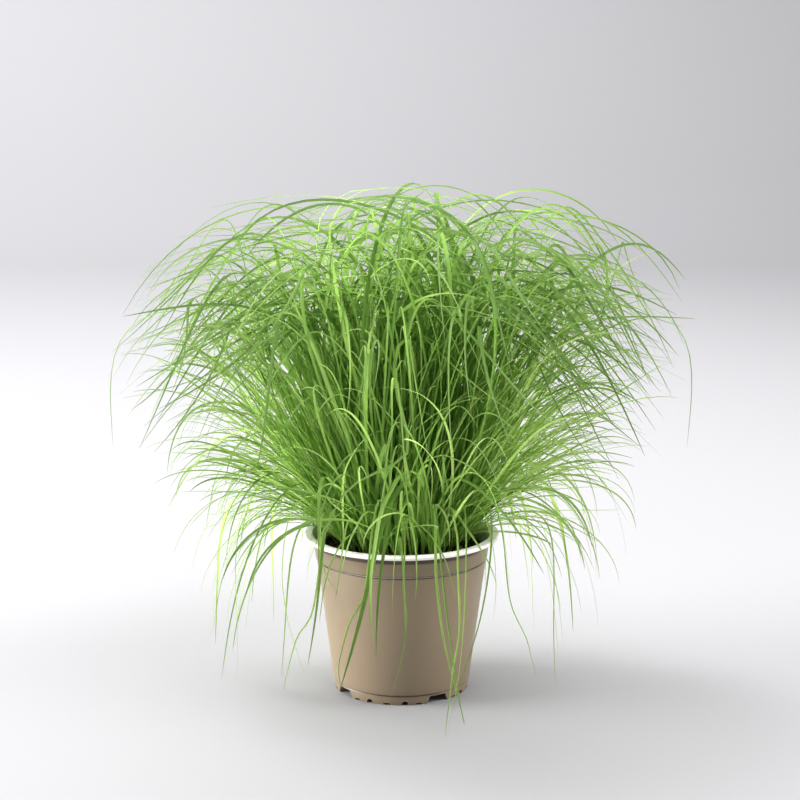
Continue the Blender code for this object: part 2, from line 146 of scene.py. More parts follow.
def moulded_plastic(name, colour, cloud, roughness, painted_shade_colour):
    """Moulded polypropylene: a satin skin with faint clouds in its colour and the mould's fine grain.

    The last colour is that of the painted shade on the foot ring, in the grooves and in the corner under the
    lip, which stands in for the shade that falls there."""
    finish, add = new_finish(name)
    place = add("ShaderNodeTexCoord").outputs["Object"]
    clouds = add("ShaderNodeTexNoise", {"Vector": place, "Scale": 38.0, "Detail": 3.0})
    tint = add("ShaderNodeMix", {0: clouds, 6: linear(colour), 7: linear(cloud)}, data_type="RGBA")
    # Painted shade: the skin is darkened by height where shade falls, on the foot ring, in the foot's and
    # the collar's grooves and in the corner under the lip.
    height = add("ShaderNodeSeparateXYZ", {"Vector": place}).outputs["Z"]
    up = add("ShaderNodeMapRange", {"Value": height, "From Max": PAINTED_SHADE_SPAN})
    painted_shade_ramp = add("ShaderNodeValToRGB", {"Fac": up})
    fill_ramp(painted_shade_ramp.color_ramp, [(level, (share, share, share, 1.0)) for level, share in PAINTED_SHADE_SHARES])
    painted_shade_amount = add("ShaderNodeMath", {0: painted_shade_ramp, 1: 0.85}, operation="MULTIPLY")
    with_painted_shade = add("ShaderNodeMix", {0: painted_shade_amount, 6: tint, 7: linear(painted_shade_colour)}, data_type="RGBA")
    polish = add("ShaderNodeMapRange", {
        "Value": clouds, "To Min": roughness - 0.05, "To Max": roughness + 0.05})
    # The mould's real grain, about 0.1 mm, is too fine to show, so it is drawn at 0.7 mm.
    grain = add("ShaderNodeTexNoise", {"Vector": place, "Scale": 1400.0, "Detail": 2.0})
    bump = add("ShaderNodeBump", {"Strength": 0.12, "Distance": 0.05 * MM, "Height": grain})
    shader = add("ShaderNodeBsdfPrincipled", {
        "Base Color": with_painted_shade, "Roughness": polish, "IOR": 1.49, "Normal": bump})
    add("ShaderNodeOutputMaterial", {"Surface": shader})
    return finish


# Taupe polypropylene with a satin skin: soft broad highlights down the sides.
# Its dark brown last colour is the painted shade at the foot, in the grooves and under the lip.
taupe_polypropylene = moulded_plastic("taupe polypropylene", "#877761", "#82725C", 0.42, "#3A2C22")
# White polypropylene of the same moulding: brighter, and a little glossier where the lip catches light.
white_polypropylene = moulded_plastic("white polypropylene", "#F8F1F3", "#F4EDEF", 0.36, "#F4EDEF")


def mesh_from(bm, name):
    """The mesh of a bmesh that is done with."""
    mesh = bpy.data.meshes.new(name)
    bm.to_mesh(mesh)
    bm.free()
    return mesh


def eased(outline, ease):
    """The outline with each corner between its ends rounded by a short curve."""
    points = [Vector(point) for point in outline]
    soft = [points[0]]
    for before, corner, after in zip(points, points[1:], points[2:]):
        start = corner + (before - corner).normalized() * min(ease, 0.4 * (before - corner).length)
        end = corner + (after - corner).normalized() * min(ease, 0.4 * (after - corner).length)
        soft += [start, (start + 2.0 * corner + end) / 4.0, end]
    return soft + [points[-1]]


def turned(profile, segments):
    """A closed solid turned about Z from (radius, height) points that start and end on the axis."""
    bm = bmesh.new()
    verts = [bm.verts.new((radius, 0.0, height)) for radius, height in profile]
    edges = [bm.edges.new(pair) for pair in zip(verts, verts[1:])]
    bmesh.ops.spin(bm, geom=verts + edges, cent=(0, 0, 0), axis=(0, 0, 1), angle=math.tau, steps=segments,
                   use_merge=True)
    bmesh.ops.remove_doubles(bm, verts=bm.verts, dist=0.01 * MM)
    bmesh.ops.recalc_face_normals(bm, faces=bm.faces)
    return bm


def add_radial_prism(bm, outline, degrees, inner, outer):
    """A prism of the outline's section that runs outwards at an azimuth, to cut the foot with."""
    turn = Matrix.Rotation(math.radians(degrees), 4, "Z")
    near = [bm.verts.new(turn @ Vector((inner, side, up))) for side, up in outline]
    far = [bm.verts.new(turn @ Vector((outer, side, up))) for side, up in outline]
    bm.faces.new(near)
    bm.faces.new(reversed(far))
    for k in range(len(outline)):
        after = (k + 1) % len(outline)
        bm.faces.new((near[k], far[k], far[after], near[after]))


def notch_outline(width, height):
    """(sideways, up) points of a round-topped notch that starts below the foot."""
    half = width / 2
    arch = [(half * math.cos(a), 0.45 * height + 0.55 * height * math.sin(a))
            for a in np.linspace(0.0, math.pi, 9)]
    return [(-half, -MM), (half, -MM)] + arch


def pot_profile():
    """(radius, height) points round the wall's section: inside, lip, outside and underside."""
    top, under = POT_HEIGHT, POT_HEIGHT - LIP_HEIGHT
    inside = [(0.0, FLOOR_TOP), (BODY_FOOT_RADIUS - WALL - 0.2 * MM, FLOOR_TOP),
              (BODY_RADIUS - WALL - 0.5 * MM, COLLAR_FOOT - 0.6 * MM),
              (BODY_RADIUS - WALL - 0.5 * MM, COLLAR_FOOT + 0.4 * MM),
              (COLLAR_FOOT_RADIUS - WALL, COLLAR_FOOT + 2.0 * MM), (COLLAR_RADIUS - WALL, top - 3.6 * MM),
              (LIP_INNER_RADIUS, top)]
    lip = [(LIP_RADIUS - 0.5 * MM, top), (LIP_RADIUS, top - 0.6 * MM), (LIP_RADIUS, under + 0.4 * MM),
           (LIP_RADIUS - 0.4 * MM, under), (COLLAR_RADIUS, under)]
    outside = [(COLLAR_FOOT_RADIUS, COLLAR_FOOT + 0.4 * MM), (COLLAR_FOOT_RADIUS - 1.5 * MM, COLLAR_FOOT),
               (BODY_RADIUS, COLLAR_FOOT - 0.6 * MM), (BODY_FOOT_RADIUS, FOOT_HEIGHT + 0.3 * MM),
               (FOOT_RADIUS - 0.4 * MM, FOOT_HEIGHT), (FOOT_RADIUS, FOOT_HEIGHT - 0.5 * MM),
               (FOOT_RADIUS - 0.2 * MM, 0.0)]
    underside = [(FOOT_RADIUS - 1.7 * MM, 0.0), (FOOT_RADIUS - 2.0 * MM, FLOOR_RIM_UNDERSIDE),
                 (FLOOR_RIM_RADIUS, FLOOR_RIM_UNDERSIDE), (FLOOR_RIM_RADIUS - 2.0 * MM, FLOOR_UNDERSIDE),
                 (0.0, FLOOR_UNDERSIDE)]
    return inside + lip + outside + underside


def in_fixed_order(mesh):
    """The same mesh with its points and faces sorted, because cutting leaves them in no fixed order."""
    order = sorted(range(len(mesh.vertices)), key=lambda k: tuple(mesh.vertices[k].co))
    rank = {old: new for new, old in enumerate(order)}
    faces = []
    for polygon in mesh.polygons:
        corners = [rank[k] for k in polygon.vertices]
        first = corners.index(min(corners))
        faces.append((corners[first:] + corners[:first], polygon.material_index))
    faces.sort()
    ordered = bpy.data.meshes.new("two-tone pot")
    ordered.from_pydata([mesh.vertices[k].co for k in order], [], [corners for corners, _ in faces])
    ordered.polygons.foreach_set("material_index", [index for _, index in faces])
    for finish in mesh.materials:
        ordered.materials.append(finish)
    return ordered


pot_bm = turned(eased(pot_profile(), CORNER_EASE), POT_SEGMENTS)
for face in pot_bm.faces:
    middle = face.calc_center_median()
    up = (middle.z - FOOT_HEIGHT) / (POT_HEIGHT - LIP_HEIGHT - FOOT_HEIGHT)
    mid_wall = BODY_FOOT_RADIUS + (COLLAR_RADIUS - BODY_FOOT_RADIUS) * up - 0.7 * WALL
    white = middle.z > POT_HEIGHT - LIP_HEIGHT + 0.1 * MM
    white |= middle.xy.length < mid_wall and middle.z > FLOOR_TOP - 0.1 * MM
    face.material_index = int(white)
shell = mesh_from(pot_bm, "shell")
shell.materials.append(taupe_polypropylene)
shell.materials.append(white_polypropylene)

cutter_bm = bmesh.new()
slope = (DRAIN_WIDTH[0] - DRAIN_WIDTH[1]) / 2 * MM / DRAIN_HEIGHT
drain = [(-DRAIN_WIDTH[0] / 2 - slope, -MM), (DRAIN_WIDTH[0] / 2 + slope, -MM),
         (DRAIN_WIDTH[1] / 2, DRAIN_HEIGHT), (-DRAIN_WIDTH[1] / 2, DRAIN_HEIGHT)]
slot = [(-5.0 * MM, DRAIN_HEIGHT - 0.2 * MM), (5.0 * MM, DRAIN_HEIGHT - 0.2 * MM),
        (5.0 * MM, FLOOR_TOP + 1.3 * MM), (-5.0 * MM, FLOOR_TOP + 1.3 * MM)]
for quarter in range(4):
    azimuth = FOOT_FRONT + quarter * 90.0
    opening = azimuth + DRAIN_OFFSET
    add_radial_prism(cutter_bm, drain, opening, FLOOR_RIM_RADIUS + 0.5 * MM, FOOT_RADIUS + 2.1 * MM)
    add_radial_prism(cutter_bm, slot, opening, FLOOR_RIM_RADIUS + 0.7 * MM, FOOT_RADIUS - 2.8 * MM)
    for k, offset in enumerate(NOTCH_OFFSETS):
        notch = notch_outline(*(TALL_NOTCH if k % 2 else LOW_NOTCH))
        add_radial_prism(cutter_bm, notch, azimuth + offset, FOOT_RADIUS - 3.0 * MM, FOOT_RADIUS + 2.1 * MM)
bmesh.ops.recalc_face_normals(cutter_bm, faces=cutter_bm.faces)
cutters = add_object("foot openings", mesh_from(cutter_bm, "foot openings"))

blank = add_object("pot blank", shell)
cut = blank.modifiers.new("foot openings", "BOOLEAN")
cut.operation = "DIFFERENCE"
cut.solver = "EXACT"
cut.object = cutters
graph = bpy.context.evaluated_depsgraph_get()
pot_mesh = in_fixed_order(bpy.data.meshes.new_from_object(blank.evaluated_get(graph)))
bpy.data.objects.remove(blank)
bpy.data.objects.remove(cutters)
pot_mesh.shade_smooth()
pot_mesh.set_sharp_from_angle(angle=math.radians(32.0))
pot = add_object("two_tone_pot", pot_mesh)
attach(pot, "root")
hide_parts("pot")

# Soil
# The real plug is moist peat mix that fills the pot to a centimetre under the lip. Its surface is loose
# crumbs with a few reddish fibres and pale specks; it was tipped in and pressed lightly.
SOIL_RADIUS = 51.7 * MM
SOIL_EDGE = 87.5 * MM
SOIL_MOUND = 2.6 * MM
SOIL_RINGS = 30
SOIL_SEGMENTS = 120
CRUMB_DENSITY = 190000.0
FIBRE_DENSITY = 26000.0


def soil_height(x, y):
    """The lie of the soil: a low mound with soft waves."""
    share = math.hypot(x, y) / SOIL_RADIUS
    mound = float(np.interp(share, (0.0, 0.54, 0.89, 1.0), (1.0, 0.85, 0.5, 0.0)))
    waves = noise.noise(Vector((x, y, 0.0)) * 90.0) * 0.5 * MM
    return SOIL_EDGE + SOIL_MOUND * mound + waves


def peat_finish():
    """Moist peat: near-black brown and dull, with darker pores, and reddish or pale bits by the crumb.

    The pores are noise of about 2.4 mm with finer steps in it, the size of the real mix's crumbs."""
    finish, add = new_finish("moist peat")
    place = add("ShaderNodeTexCoord").outputs["Object"]
    kind = add("ShaderNodeAttribute", attribute_name="crumb").outputs["Fac"]
    clods = add("ShaderNodeTexNoise", {"Vector": place, "Scale": 420.0, "Detail": 6.0, "Roughness": 0.7})
    browns = add("ShaderNodeValToRGB", {"Fac": clods})
    fill_ramp(browns.color_ramp, ((0.34, linear("#0F0A07")), (0.72, linear("#35231A"))))
    kinds = add("ShaderNodeValToRGB", {"Fac": kind})
    kinds.color_ramp.interpolation = "CONSTANT"
    fill_ramp(kinds.color_ramp, ((0.0, linear("#1E140E")), (0.72, linear("#4A2418")),
                                 (0.93, linear("#6E5038")), (0.985, linear("#B9AE9A"))))
    blend = add("ShaderNodeMix", {0: 0.55, 6: browns, 7: kinds}, data_type="RGBA")
    bump = add("ShaderNodeBump", {"Strength": 0.6, "Distance": 0.4 * MM, "Height": clods})
    damp = add("ShaderNodeMapRange", {"Value": clods, "To Min": 0.62, "To Max": 0.95})
    shader = add("ShaderNodeBsdfPrincipled", {
        "Base Color": blend, "Roughness": damp, "IOR": 1.4, "Normal": bump})
    add("ShaderNodeOutputMaterial", {"Surface": shader})
    return finish


def soil_mesh():
    """The plug: a rough top in rings, and plain sides and bottom that follow the pot's inside."""
    bm = bmesh.new()
    angles = [math.tau * k / SOIL_SEGMENTS for k in range(SOIL_SEGMENTS)]
    levels = []
    for step in range(1, SOIL_RINGS + 1):
        radius = SOIL_RADIUS * (step / SOIL_RINGS) ** 0.8
        ring = []
        for angle in angles:
            x, y = radius * math.cos(angle), radius * math.sin(angle)
            rough = noise.fractal(Vector((x, y, 0.0)) * 300.0, 1.0, 2.0, 4) * 0.6 * MM
            ring.append(bm.verts.new((x, y, soil_height(x, y) + rough)))
        levels.append(ring)
    for radius, height in ((BODY_RADIUS - WALL - 0.9 * MM, COLLAR_FOOT + 0.6 * MM),
                           (BODY_RADIUS - WALL - 0.9 * MM, COLLAR_FOOT - 0.6 * MM),
                           (BODY_FOOT_RADIUS - WALL - 0.7 * MM, FLOOR_TOP + 0.3 * MM)):
        levels.append([bm.verts.new((radius * math.cos(angle), radius * math.sin(angle), height))
                       for angle in angles])
    middle = bm.verts.new((0.0, 0.0, soil_height(0.0, 0.0)))
    for k in range(SOIL_SEGMENTS):
        bm.faces.new((middle, levels[0][k], levels[0][(k + 1) % SOIL_SEGMENTS]))
    for inner, outer in zip(levels, levels[1:]):
        for k in range(SOIL_SEGMENTS):
            after = (k + 1) % SOIL_SEGMENTS
            bm.faces.new((inner[k], outer[k], outer[after], inner[after]))
    bm.faces.new(levels[-1][::-1])
    bmesh.ops.recalc_face_normals(bm, faces=bm.faces)
    return mesh_from(bm, "soil")


def crumb_mesh(seed, stretch):
    """One rough lump of a few dozen faces, about 1 m long before it is scaled down."""
    bm = bmesh.new()
    bmesh.ops.create_cube(bm, size=1.0)
    bmesh.ops.subdivide_edges(bm, edges=bm.edges, cuts=1, use_grid_fill=True)
    for vert in bm.verts:
        vert.co = vert.co.normalized() * (0.5 + 0.22 * noise.noise(vert.co * 2.6 + Vector((seed, 0, 0))))
        vert.co = Vector((vert.co.x * stretch[0], vert.co.y * stretch[1], vert.co.z * stretch[2]))
    return mesh_from(bm, "crumb")


def new_shape_tree(name, sizes, others=()):
    """A Geometry Nodes tree with a named input for each size and other value, those inputs, and add_node
    for the tree."""
    tree = bpy.data.node_groups.new(name, "GeometryNodeTree")
    inputs = [("Geometry", "Geometry")] + [(label, "Float") for label in sizes] + list(others)
    for label, kind in inputs + [("Material", "Material")]:
        tree.interface.new_socket(label, in_out="INPUT", socket_type="NodeSocket" + kind)
    tree.interface.new_socket("Geometry", in_out="OUTPUT", socket_type="NodeSocketGeometry")
    add = functools.partial(add_node, tree)
    return tree, add("NodeGroupInput").outputs, add


def shaped(name, guide, tree, values):
    """The plain mesh that a tree makes from a guide mesh, with the tree's named inputs set."""
    carrier = add_object(name + " guide", guide)
    modifier = carrier.modifiers.new(name, "NODES")
    modifier.node_group = tree
    for item in tree.interface.items_tree:
        if item.in_out == "INPUT" and item.name in values:
            modifier[item.identifier] = values[item.name]
    graph = bpy.context.evaluated_depsgraph_get()
    mesh = bpy.data.meshes.new_from_object(carrier.evaluated_get(graph))
    bpy.data.objects.remove(carrier)
    mesh.name = name
    return mesh


def crumb_tree():
    """Scatters lumps from a collection over the faces marked as top, each with its own size and turn."""
    tree, given, add = new_shape_tree("scattered crumbs", ("Density", "Smallest", "Largest", "Tumble"),
                                      (("Crumbs", "Collection"), ("Seed", "Int")))
    top = add("GeometryNodeInputNamedAttribute", {"Name": "top"}, data_type="FLOAT")
    points = add("GeometryNodeDistributePointsOnFaces", {
        "Mesh": given["Geometry"], "Selection": top, "Density": given["Density"], "Seed": given["Seed"]})
    lumps = add("GeometryNodeCollectionInfo", {
        "Collection": given["Crumbs"], "Separate Children": True, "Reset Children": True})
    lean = add("ShaderNodeVectorMath", {0: (1.0, 1.0, 0.0), "Scale": given["Tumble"]}, operation="SCALE")
    widest = add("ShaderNodeVectorMath", {0: lean, 1: (0.0, 0.0, math.tau)}, operation="ADD")
    turn = add("FunctionNodeRandomValue", {"Max": widest, "Seed": given["Seed"]}, data_type="FLOAT_VECTOR")
    even = add("FunctionNodeRandomValue", {"Seed": given["Seed"]}, data_type="FLOAT")
    rare = add("ShaderNodeMath", {0: even, 1: 2.6}, operation="POWER")
    size = add("ShaderNodeMapRange", {
        "Value": rare, "To Min": given["Smallest"], "To Max": given["Largest"]})
    placed = add("GeometryNodeInstanceOnPoints", {
        "Points": points, "Instance": lumps, "Pick Instance": True, "Rotation": turn, "Scale": size})
    marked = add("GeometryNodeStoreNamedAttribute", {
        "Geometry": placed, "Name": "crumb", "Value": even}, data_type="FLOAT", domain="INSTANCE")
    real = add("GeometryNodeRealizeInstances", {"Geometry": marked})
    finished = add("GeometryNodeSetMaterial", {"Geometry": real, "Material": given["Material"]})
    add("NodeGroupOutput", {0: finished})
    return tree


moist_peat = peat_finish()
plug_mesh = soil_mesh()
plug_mesh.materials.append(moist_peat)
plug_mesh.shade_smooth()
plug_mesh.set_sharp_from_angle(angle=math.radians(60.0))
soil_plug = add_object("peat_plug", plug_mesh)
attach(soil_plug, "root")
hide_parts("soil")

top_mesh = plug_mesh.copy()
top_faces = [polygon.center.z > SOIL_EDGE - 1.5 * MM and polygon.normal.z > 0.3
             and polygon.center.xy.length < SOIL_RADIUS - 1.6 * MM for polygon in top_mesh.polygons]
top_mesh.attributes.new("top", "FLOAT", "FACE").data.foreach_set("value", np.array(top_faces, float))
scatter = crumb_tree()
for label, shapes, density, sizes, tumble, seed in (
        ("peat_crumbs", [(1.0, 0.8, 0.6), (0.9, 1.0, 0.75), (1.2, 0.6, 0.5)], CRUMB_DENSITY,
         (0.7 * MM, 3.4 * MM), math.tau, 4),
        ("peat_fibres", [(2.4, 0.16, 0.14), (3.2, 0.13, 0.13)], FIBRE_DENSITY,
         (1.0 * MM, 3.0 * MM), 0.35, 9)):
    heap = bpy.data.collections.new(label)
    scene.collection.children.link(heap)
    lumps = [bpy.data.objects.new(label + " lump", crumb_mesh(7.0 * k + seed, shape))
             for k, shape in enumerate(shapes)]
    for lump in lumps:
        heap.objects.link(lump)
    mesh = shaped(label, top_mesh.copy(), scatter, {
        "Crumbs": heap, "Density": density, "Smallest": sizes[0], "Largest": sizes[1], "Tumble": tumble,
        "Seed": seed, "Material": moist_peat})
    for lump in lumps:
        bpy.data.objects.remove(lump)
    bpy.data.collections.remove(heap)
    mesh.shade_flat()
    piece = add_object(label, mesh)
    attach(piece, "root")

# Leaves
# The real plant is well over a hundred tufts, each a bundle of long thin leaves that grew from one
# sheath. A leaf is a soft keeled strap 1 to 5 mm wide: it leans out with its tuft, then arches over and
# hangs by its tip. Each is a line of points first, and one Geometry Nodes tree sweeps the strap along it.

# The outline that the leaves fill: a dome from its shoulder up, and a cone below that
GRASS_TOP = 310.2 * MM
GRASS_SHOULDER = 205.0 * MM
GRASS_MIDDLE = 150.0 * MM
GRASS_REACH = 177.0 * MM
GRASS_LOW_REACH = 113.0 * MM
DOME_POWER = 3.2
FLOOR_CLEARANCE = 4.0 * MM
LOWEST_ARCH = 225.0 * MM
# Tufts stand in a round field, a golden angle apart so that they are evenly spread
GOLDEN_ANGLE = math.radians(137.508)
TUFTS = 130
TUFT_FIELD = 36.0 * MM
TUFT_MIDDLE = (0.0, 8.0 * MM)
LEAF_POINTS = 28
TEST_POINTS = 3 * (LEAF_POINTS - 1) + 1
# The shades from deep green to yellow-green, each a column of the leaves' map
COLUMNS = 24.0
random_numbers = np.random.default_rng(12)


def ways(fall, heading):
    """Unit vectors at angles from upright, towards headings."""
    return np.stack((np.sin(fall) * np.cos(heading), np.sin(fall) * np.sin(heading), np.cos(fall)), axis=-1)


def reach_at(height):
    """How far from the axis the plant reaches at each height."""
    up = np.clip((height - GRASS_SHOULDER) / (GRASS_TOP - GRASS_SHOULDER), 0.0, 1.0)
    dome = GRASS_REACH * (1.0 - up ** DOME_POWER) ** (1.0 / DOME_POWER)
    low = np.clip(height / GRASS_SHOULDER, 0.0, 1.0) ** 0.9
    return np.where(height >= GRASS_SHOULDER, dome, GRASS_LOW_REACH + (GRASS_REACH - GRASS_LOW_REACH) * low)


def outline_distance(fall):
    """How far the plant's outline is from the middle of the plant, at angles from upright."""
    near, far = np.zeros_like(fall), np.full_like(fall, 0.25)
    for _ in range(24):
        middle = (near + far) / 2
        height = GRASS_MIDDLE + middle * np.cos(fall)
        inside = (height < GRASS_TOP) & (height > FLOOR_CLEARANCE)
        inside &= middle * np.sin(fall) < reach_at(height)
        near = np.where(inside, middle, near)
        far = np.where(inside, far, middle)
    return near


def clear_of_pot(lines):
    """Which lines stay inside the plant's outline, off the floor and clear of the pot's lip and side."""
    radius = np.hypot(lines[..., 0], lines[..., 1])
    height = lines[..., 2]
    pot_side = np.where(height > POT_HEIGHT - LIP_HEIGHT - 3.0 * MM, LIP_RADIUS,
                        BODY_FOOT_RADIUS + (COLLAR_RADIUS - BODY_FOOT_RADIUS) * height / COLLAR_FOOT)
    in_mouth = (radius < LIP_INNER_RADIUS - 2.5 * MM) & (height > SOIL_EDGE - 3.0 * MM)
    on_pot = (height < POT_HEIGHT + 2.0 * MM) & (radius < pot_side + 2.0 * MM) & ~in_mouth
    good = (radius < reach_at(height)) & (height < GRASS_TOP) & (height > FLOOR_CLEARANCE) & ~on_pot
    return good.all(axis=1)


tuft_angles = np.arange(TUFTS) * GOLDEN_ANGLE
tuft_shares = np.sqrt((np.arange(TUFTS) + 0.5) / TUFTS)
tuft_spots = np.stack((np.cos(tuft_angles), np.sin(tuft_angles)), axis=1)
tuft_spots = tuft_spots * (TUFT_FIELD * tuft_shares)[:, None] + TUFT_MIDDLE
tuft_headings = tuft_angles + random_numbers.normal(0.0, math.radians(11.0), TUFTS)
tuft_leans = np.radians(4.0 + 40.0 * tuft_shares) + random_numbers.normal(0.0, math.radians(5.0), TUFTS)
tuft_axes = ways(tuft_leans, tuft_headings)
# Tufts are paler towards the right and deeper green in the middle
tuft_tones = (random_numbers.normal(0.0, 0.12, TUFTS)
              + 0.3 * np.clip(tuft_spots[:, 0] / TUFT_FIELD, -0.3, 1.0)
              - 0.25 * np.exp(-(tuft_spots[:, 0] / (15.0 * MM)) ** 2))


def rooted(tufts, wander):
    """Roots in the soil near tufts: their (x, y) places and their points."""
    spot = tuft_spots[tufts] + random_numbers.normal(0.0, wander, (len(tufts), 2))
    return spot, np.column_stack((spot, [soil_height(x, y) - 1.0 * MM for x, y in spot]))


def share_kept(fall, heading, front, back):
    """Thins the leaves that lean to the front and to the back, down to shares of them."""
    return np.interp(-np.sin(heading) * np.sin(fall), (-0.6, -0.1, 0.1, 0.6), (back, 1.0, 1.0, front))


def arched(root, near, far, tip):
    """Bezier arches in TEST_POINTS steps, for rows of roots, handles and tips."""
    t = np.linspace(0.0, 1.0, TEST_POINTS)[None, :, None]
    return (root[:, None] * (1 - t) ** 3 + near[:, None] * 3 * t * (1 - t) ** 2
            + far[:, None] * 3 * t ** 2 * (1 - t) + tip[:, None] * t ** 3)


def grown_leaves(count, shares, falls, reaches, widths, shades, bends, rises=(0.34, 0.46), front=1.0,
                 back=0.5):
    """Leaves of one habit, as lines with their widths and shades.

    shares says how far out their tufts stand. falls is how far their tips are from upright at the middle
    and at the rim of the soil, and its spread, in degrees. reaches are shares of the way to the plant's
    outline. widths are in mm. bends are how much a leaf turns over from its foot to its tip, in degrees,
    and rises how late. front and back are the shares kept of the leaves that lean straight to the front
    and to the back. The middle tufts' leaves are shorter and fewer, and few leaves are rooted in front."""
    rng = random_numbers
    found = []
    allowed = np.flatnonzero((tuft_shares >= shares[0]) & (tuft_shares <= shares[1]))
    odds = 0.1 + tuft_shares[allowed] ** 1.3
    odds /= odds.sum()
    while sum(len(part[0]) for part in found) < count:
        number = 3 * count
        tuft = rng.choice(allowed, number, p=odds)
        share = tuft_shares[tuft]
        spot, root = rooted(tuft, 0.9 * MM)
        spread = np.radians(19.0 + 60.0 * (1.0 - share) ** 1.5)
        heading = tuft_headings[tuft] + rng.normal(0.0, 1.0, number) * spread
        outer = 0.5 * share + 0.5 * np.arccos(1.0 - 1.25 * share ** 2) / 1.82
        fall = falls[0] + (falls[1] - falls[0]) * outer
        fall = np.radians(np.clip(fall + rng.normal(0.0, falls[2], number), 4.0, 150.0))
        reach = reaches[0] + (reaches[1] - reaches[0]) * rng.uniform(0.0, 1.0, number) ** 0.6
        reach *= np.interp(share, (0.25, 0.85), (0.66, 1.0))
        tip = ways(fall, heading) * (reach * outline_distance(fall))[:, None] + (0.0, 0.0, GRASS_MIDDLE)
        chord = tip - root
        span = np.linalg.norm(chord, axis=1)
        slant = np.arccos(chord[:, 2] / span)
        towards = np.arctan2(chord[:, 1], chord[:, 0])
        bend = np.radians(rng.uniform(*bends, number))
        lean = np.abs(slant - bend * rng.uniform(0.6, 1.0, number))
        bowed = np.radians(rng.uniform(60.0, 138.0, number)) * (rng.uniform(0.0, 1.0, number) > 0.12)
        droop = slant + bend * rng.uniform(0.9, 1.7, number)
        droop = np.minimum(np.maximum(droop, bowed), math.radians(174.0))
        rise = rng.uniform(*rises, number) * span
        start = 0.4 * ways(lean, towards + rng.normal(0.0, 0.16, number)) + 0.6 * tuft_axes[tuft]
        near = root + start * (rise / np.linalg.norm(start, axis=1))[:, None]
        hang = rise * rng.uniform(0.55, 0.95, number)
        far = tip - ways(droop, towards + rng.normal(0.0, 0.35, number)) * hang[:, None]
        lines = arched(root, near, far, tip)
        odds_kept = share_kept(fall, heading, front, back)
        odds_kept *= np.interp(spot[:, 1], (-26.0 * MM, 0.0), (0.15, 1.0))
        kept = rng.uniform(0.0, 1.0, number) < odds_kept
        good = clear_of_pot(lines) & kept
        tone = tuft_tones[tuft] + rng.uniform(*shades, number)
        found.append((lines[good][:, ::3], rng.uniform(*widths, number)[good] * MM, tone[good]))
    return [np.concatenate(parts)[:count] for parts in zip(*found)]


def tall_arches(count, turns, falls, leans, widths, shades, front=1.0, back=0.5):
    """Long leaves that rise, arch over near the top and hang, as lines with their widths and shades.

    turns is how far round their tips come down from the way that they lean out. falls and leans are
    their tips' and their feet's angles from upright. All three are in degrees, and widths in mm."""
    rng = random_numbers
    found = []
    while sum(len(part[0]) for part in found) < count:
        number = 4 * count
        tuft = rng.integers(0, TUFTS, number)
        root = rooted(tuft, 1.2 * MM)[1]
        # More of them lean out to the left and to the right than to the front and to the back.
        away = rng.uniform(0.0, math.tau, number)
        away -= 0.35 * np.sin(2.0 * away)
        down = away + np.radians(rng.uniform(*turns, number)) * rng.choice((-1.0, 1.0), number)
        fall = np.radians(rng.uniform(*falls, number))
        reach = rng.uniform(0.72, 1.0, number) * outline_distance(fall)
        tip = ways(fall, down) * reach[:, None] + (0.0, 0.0, GRASS_MIDDLE)
        lean = np.radians(rng.uniform(*leans, number))
        droop = np.radians(rng.uniform(90.0, 160.0, number))
        near = root + ways(lean, away) * rng.uniform(0.15, 0.27, number)[:, None]
        far = tip - ways(droop, down) * rng.uniform(0.06, 0.17, number)[:, None]
        lines = arched(root, near, far, tip)
        kept = rng.uniform(0.0, 1.0, number) < share_kept(fall, down, front, back)
        good = clear_of_pot(lines) & kept & (lines[..., 2].max(axis=1) > LOWEST_ARCH)
        found.append((lines[good][:, ::3], rng.uniform(*widths, number)[good] * MM,
                      rng.uniform(*shades, number)[good]))
    return [np.concatenate(parts)[:count] for parts in zip(*found)]


def smooth_line(points):
    """A smooth line through the points, as LEAF_POINTS points in even steps."""
    points = [Vector(point) for point in points]
    ends = [2 * points[0] - points[1]] + points + [2 * points[-1] - points[-2]]
    line = [points[0]]
    for p0, p1, p2, p3 in zip(ends, ends[1:], ends[2:], ends[3:]):
        for t in (0.125, 0.25, 0.375, 0.5, 0.625, 0.75, 0.875, 1.0):
            line.append(0.5 * (2 * p1 + (p2 - p0) * t + (2 * p0 - 5 * p1 + 4 * p2 - p3) * t ** 2
                               + (3 * p1 - p0 - 3 * p2 + p3) * t ** 3))
    line = np.array(line)
    along = np.concatenate(([0.0], np.cumsum(np.linalg.norm(np.diff(line, axis=0), axis=1))))
    wanted = np.linspace(0.0, along[-1], LEAF_POINTS)
    return np.stack([np.interp(wanted, along, line[:, axis]) for axis in range(3)], axis=1)


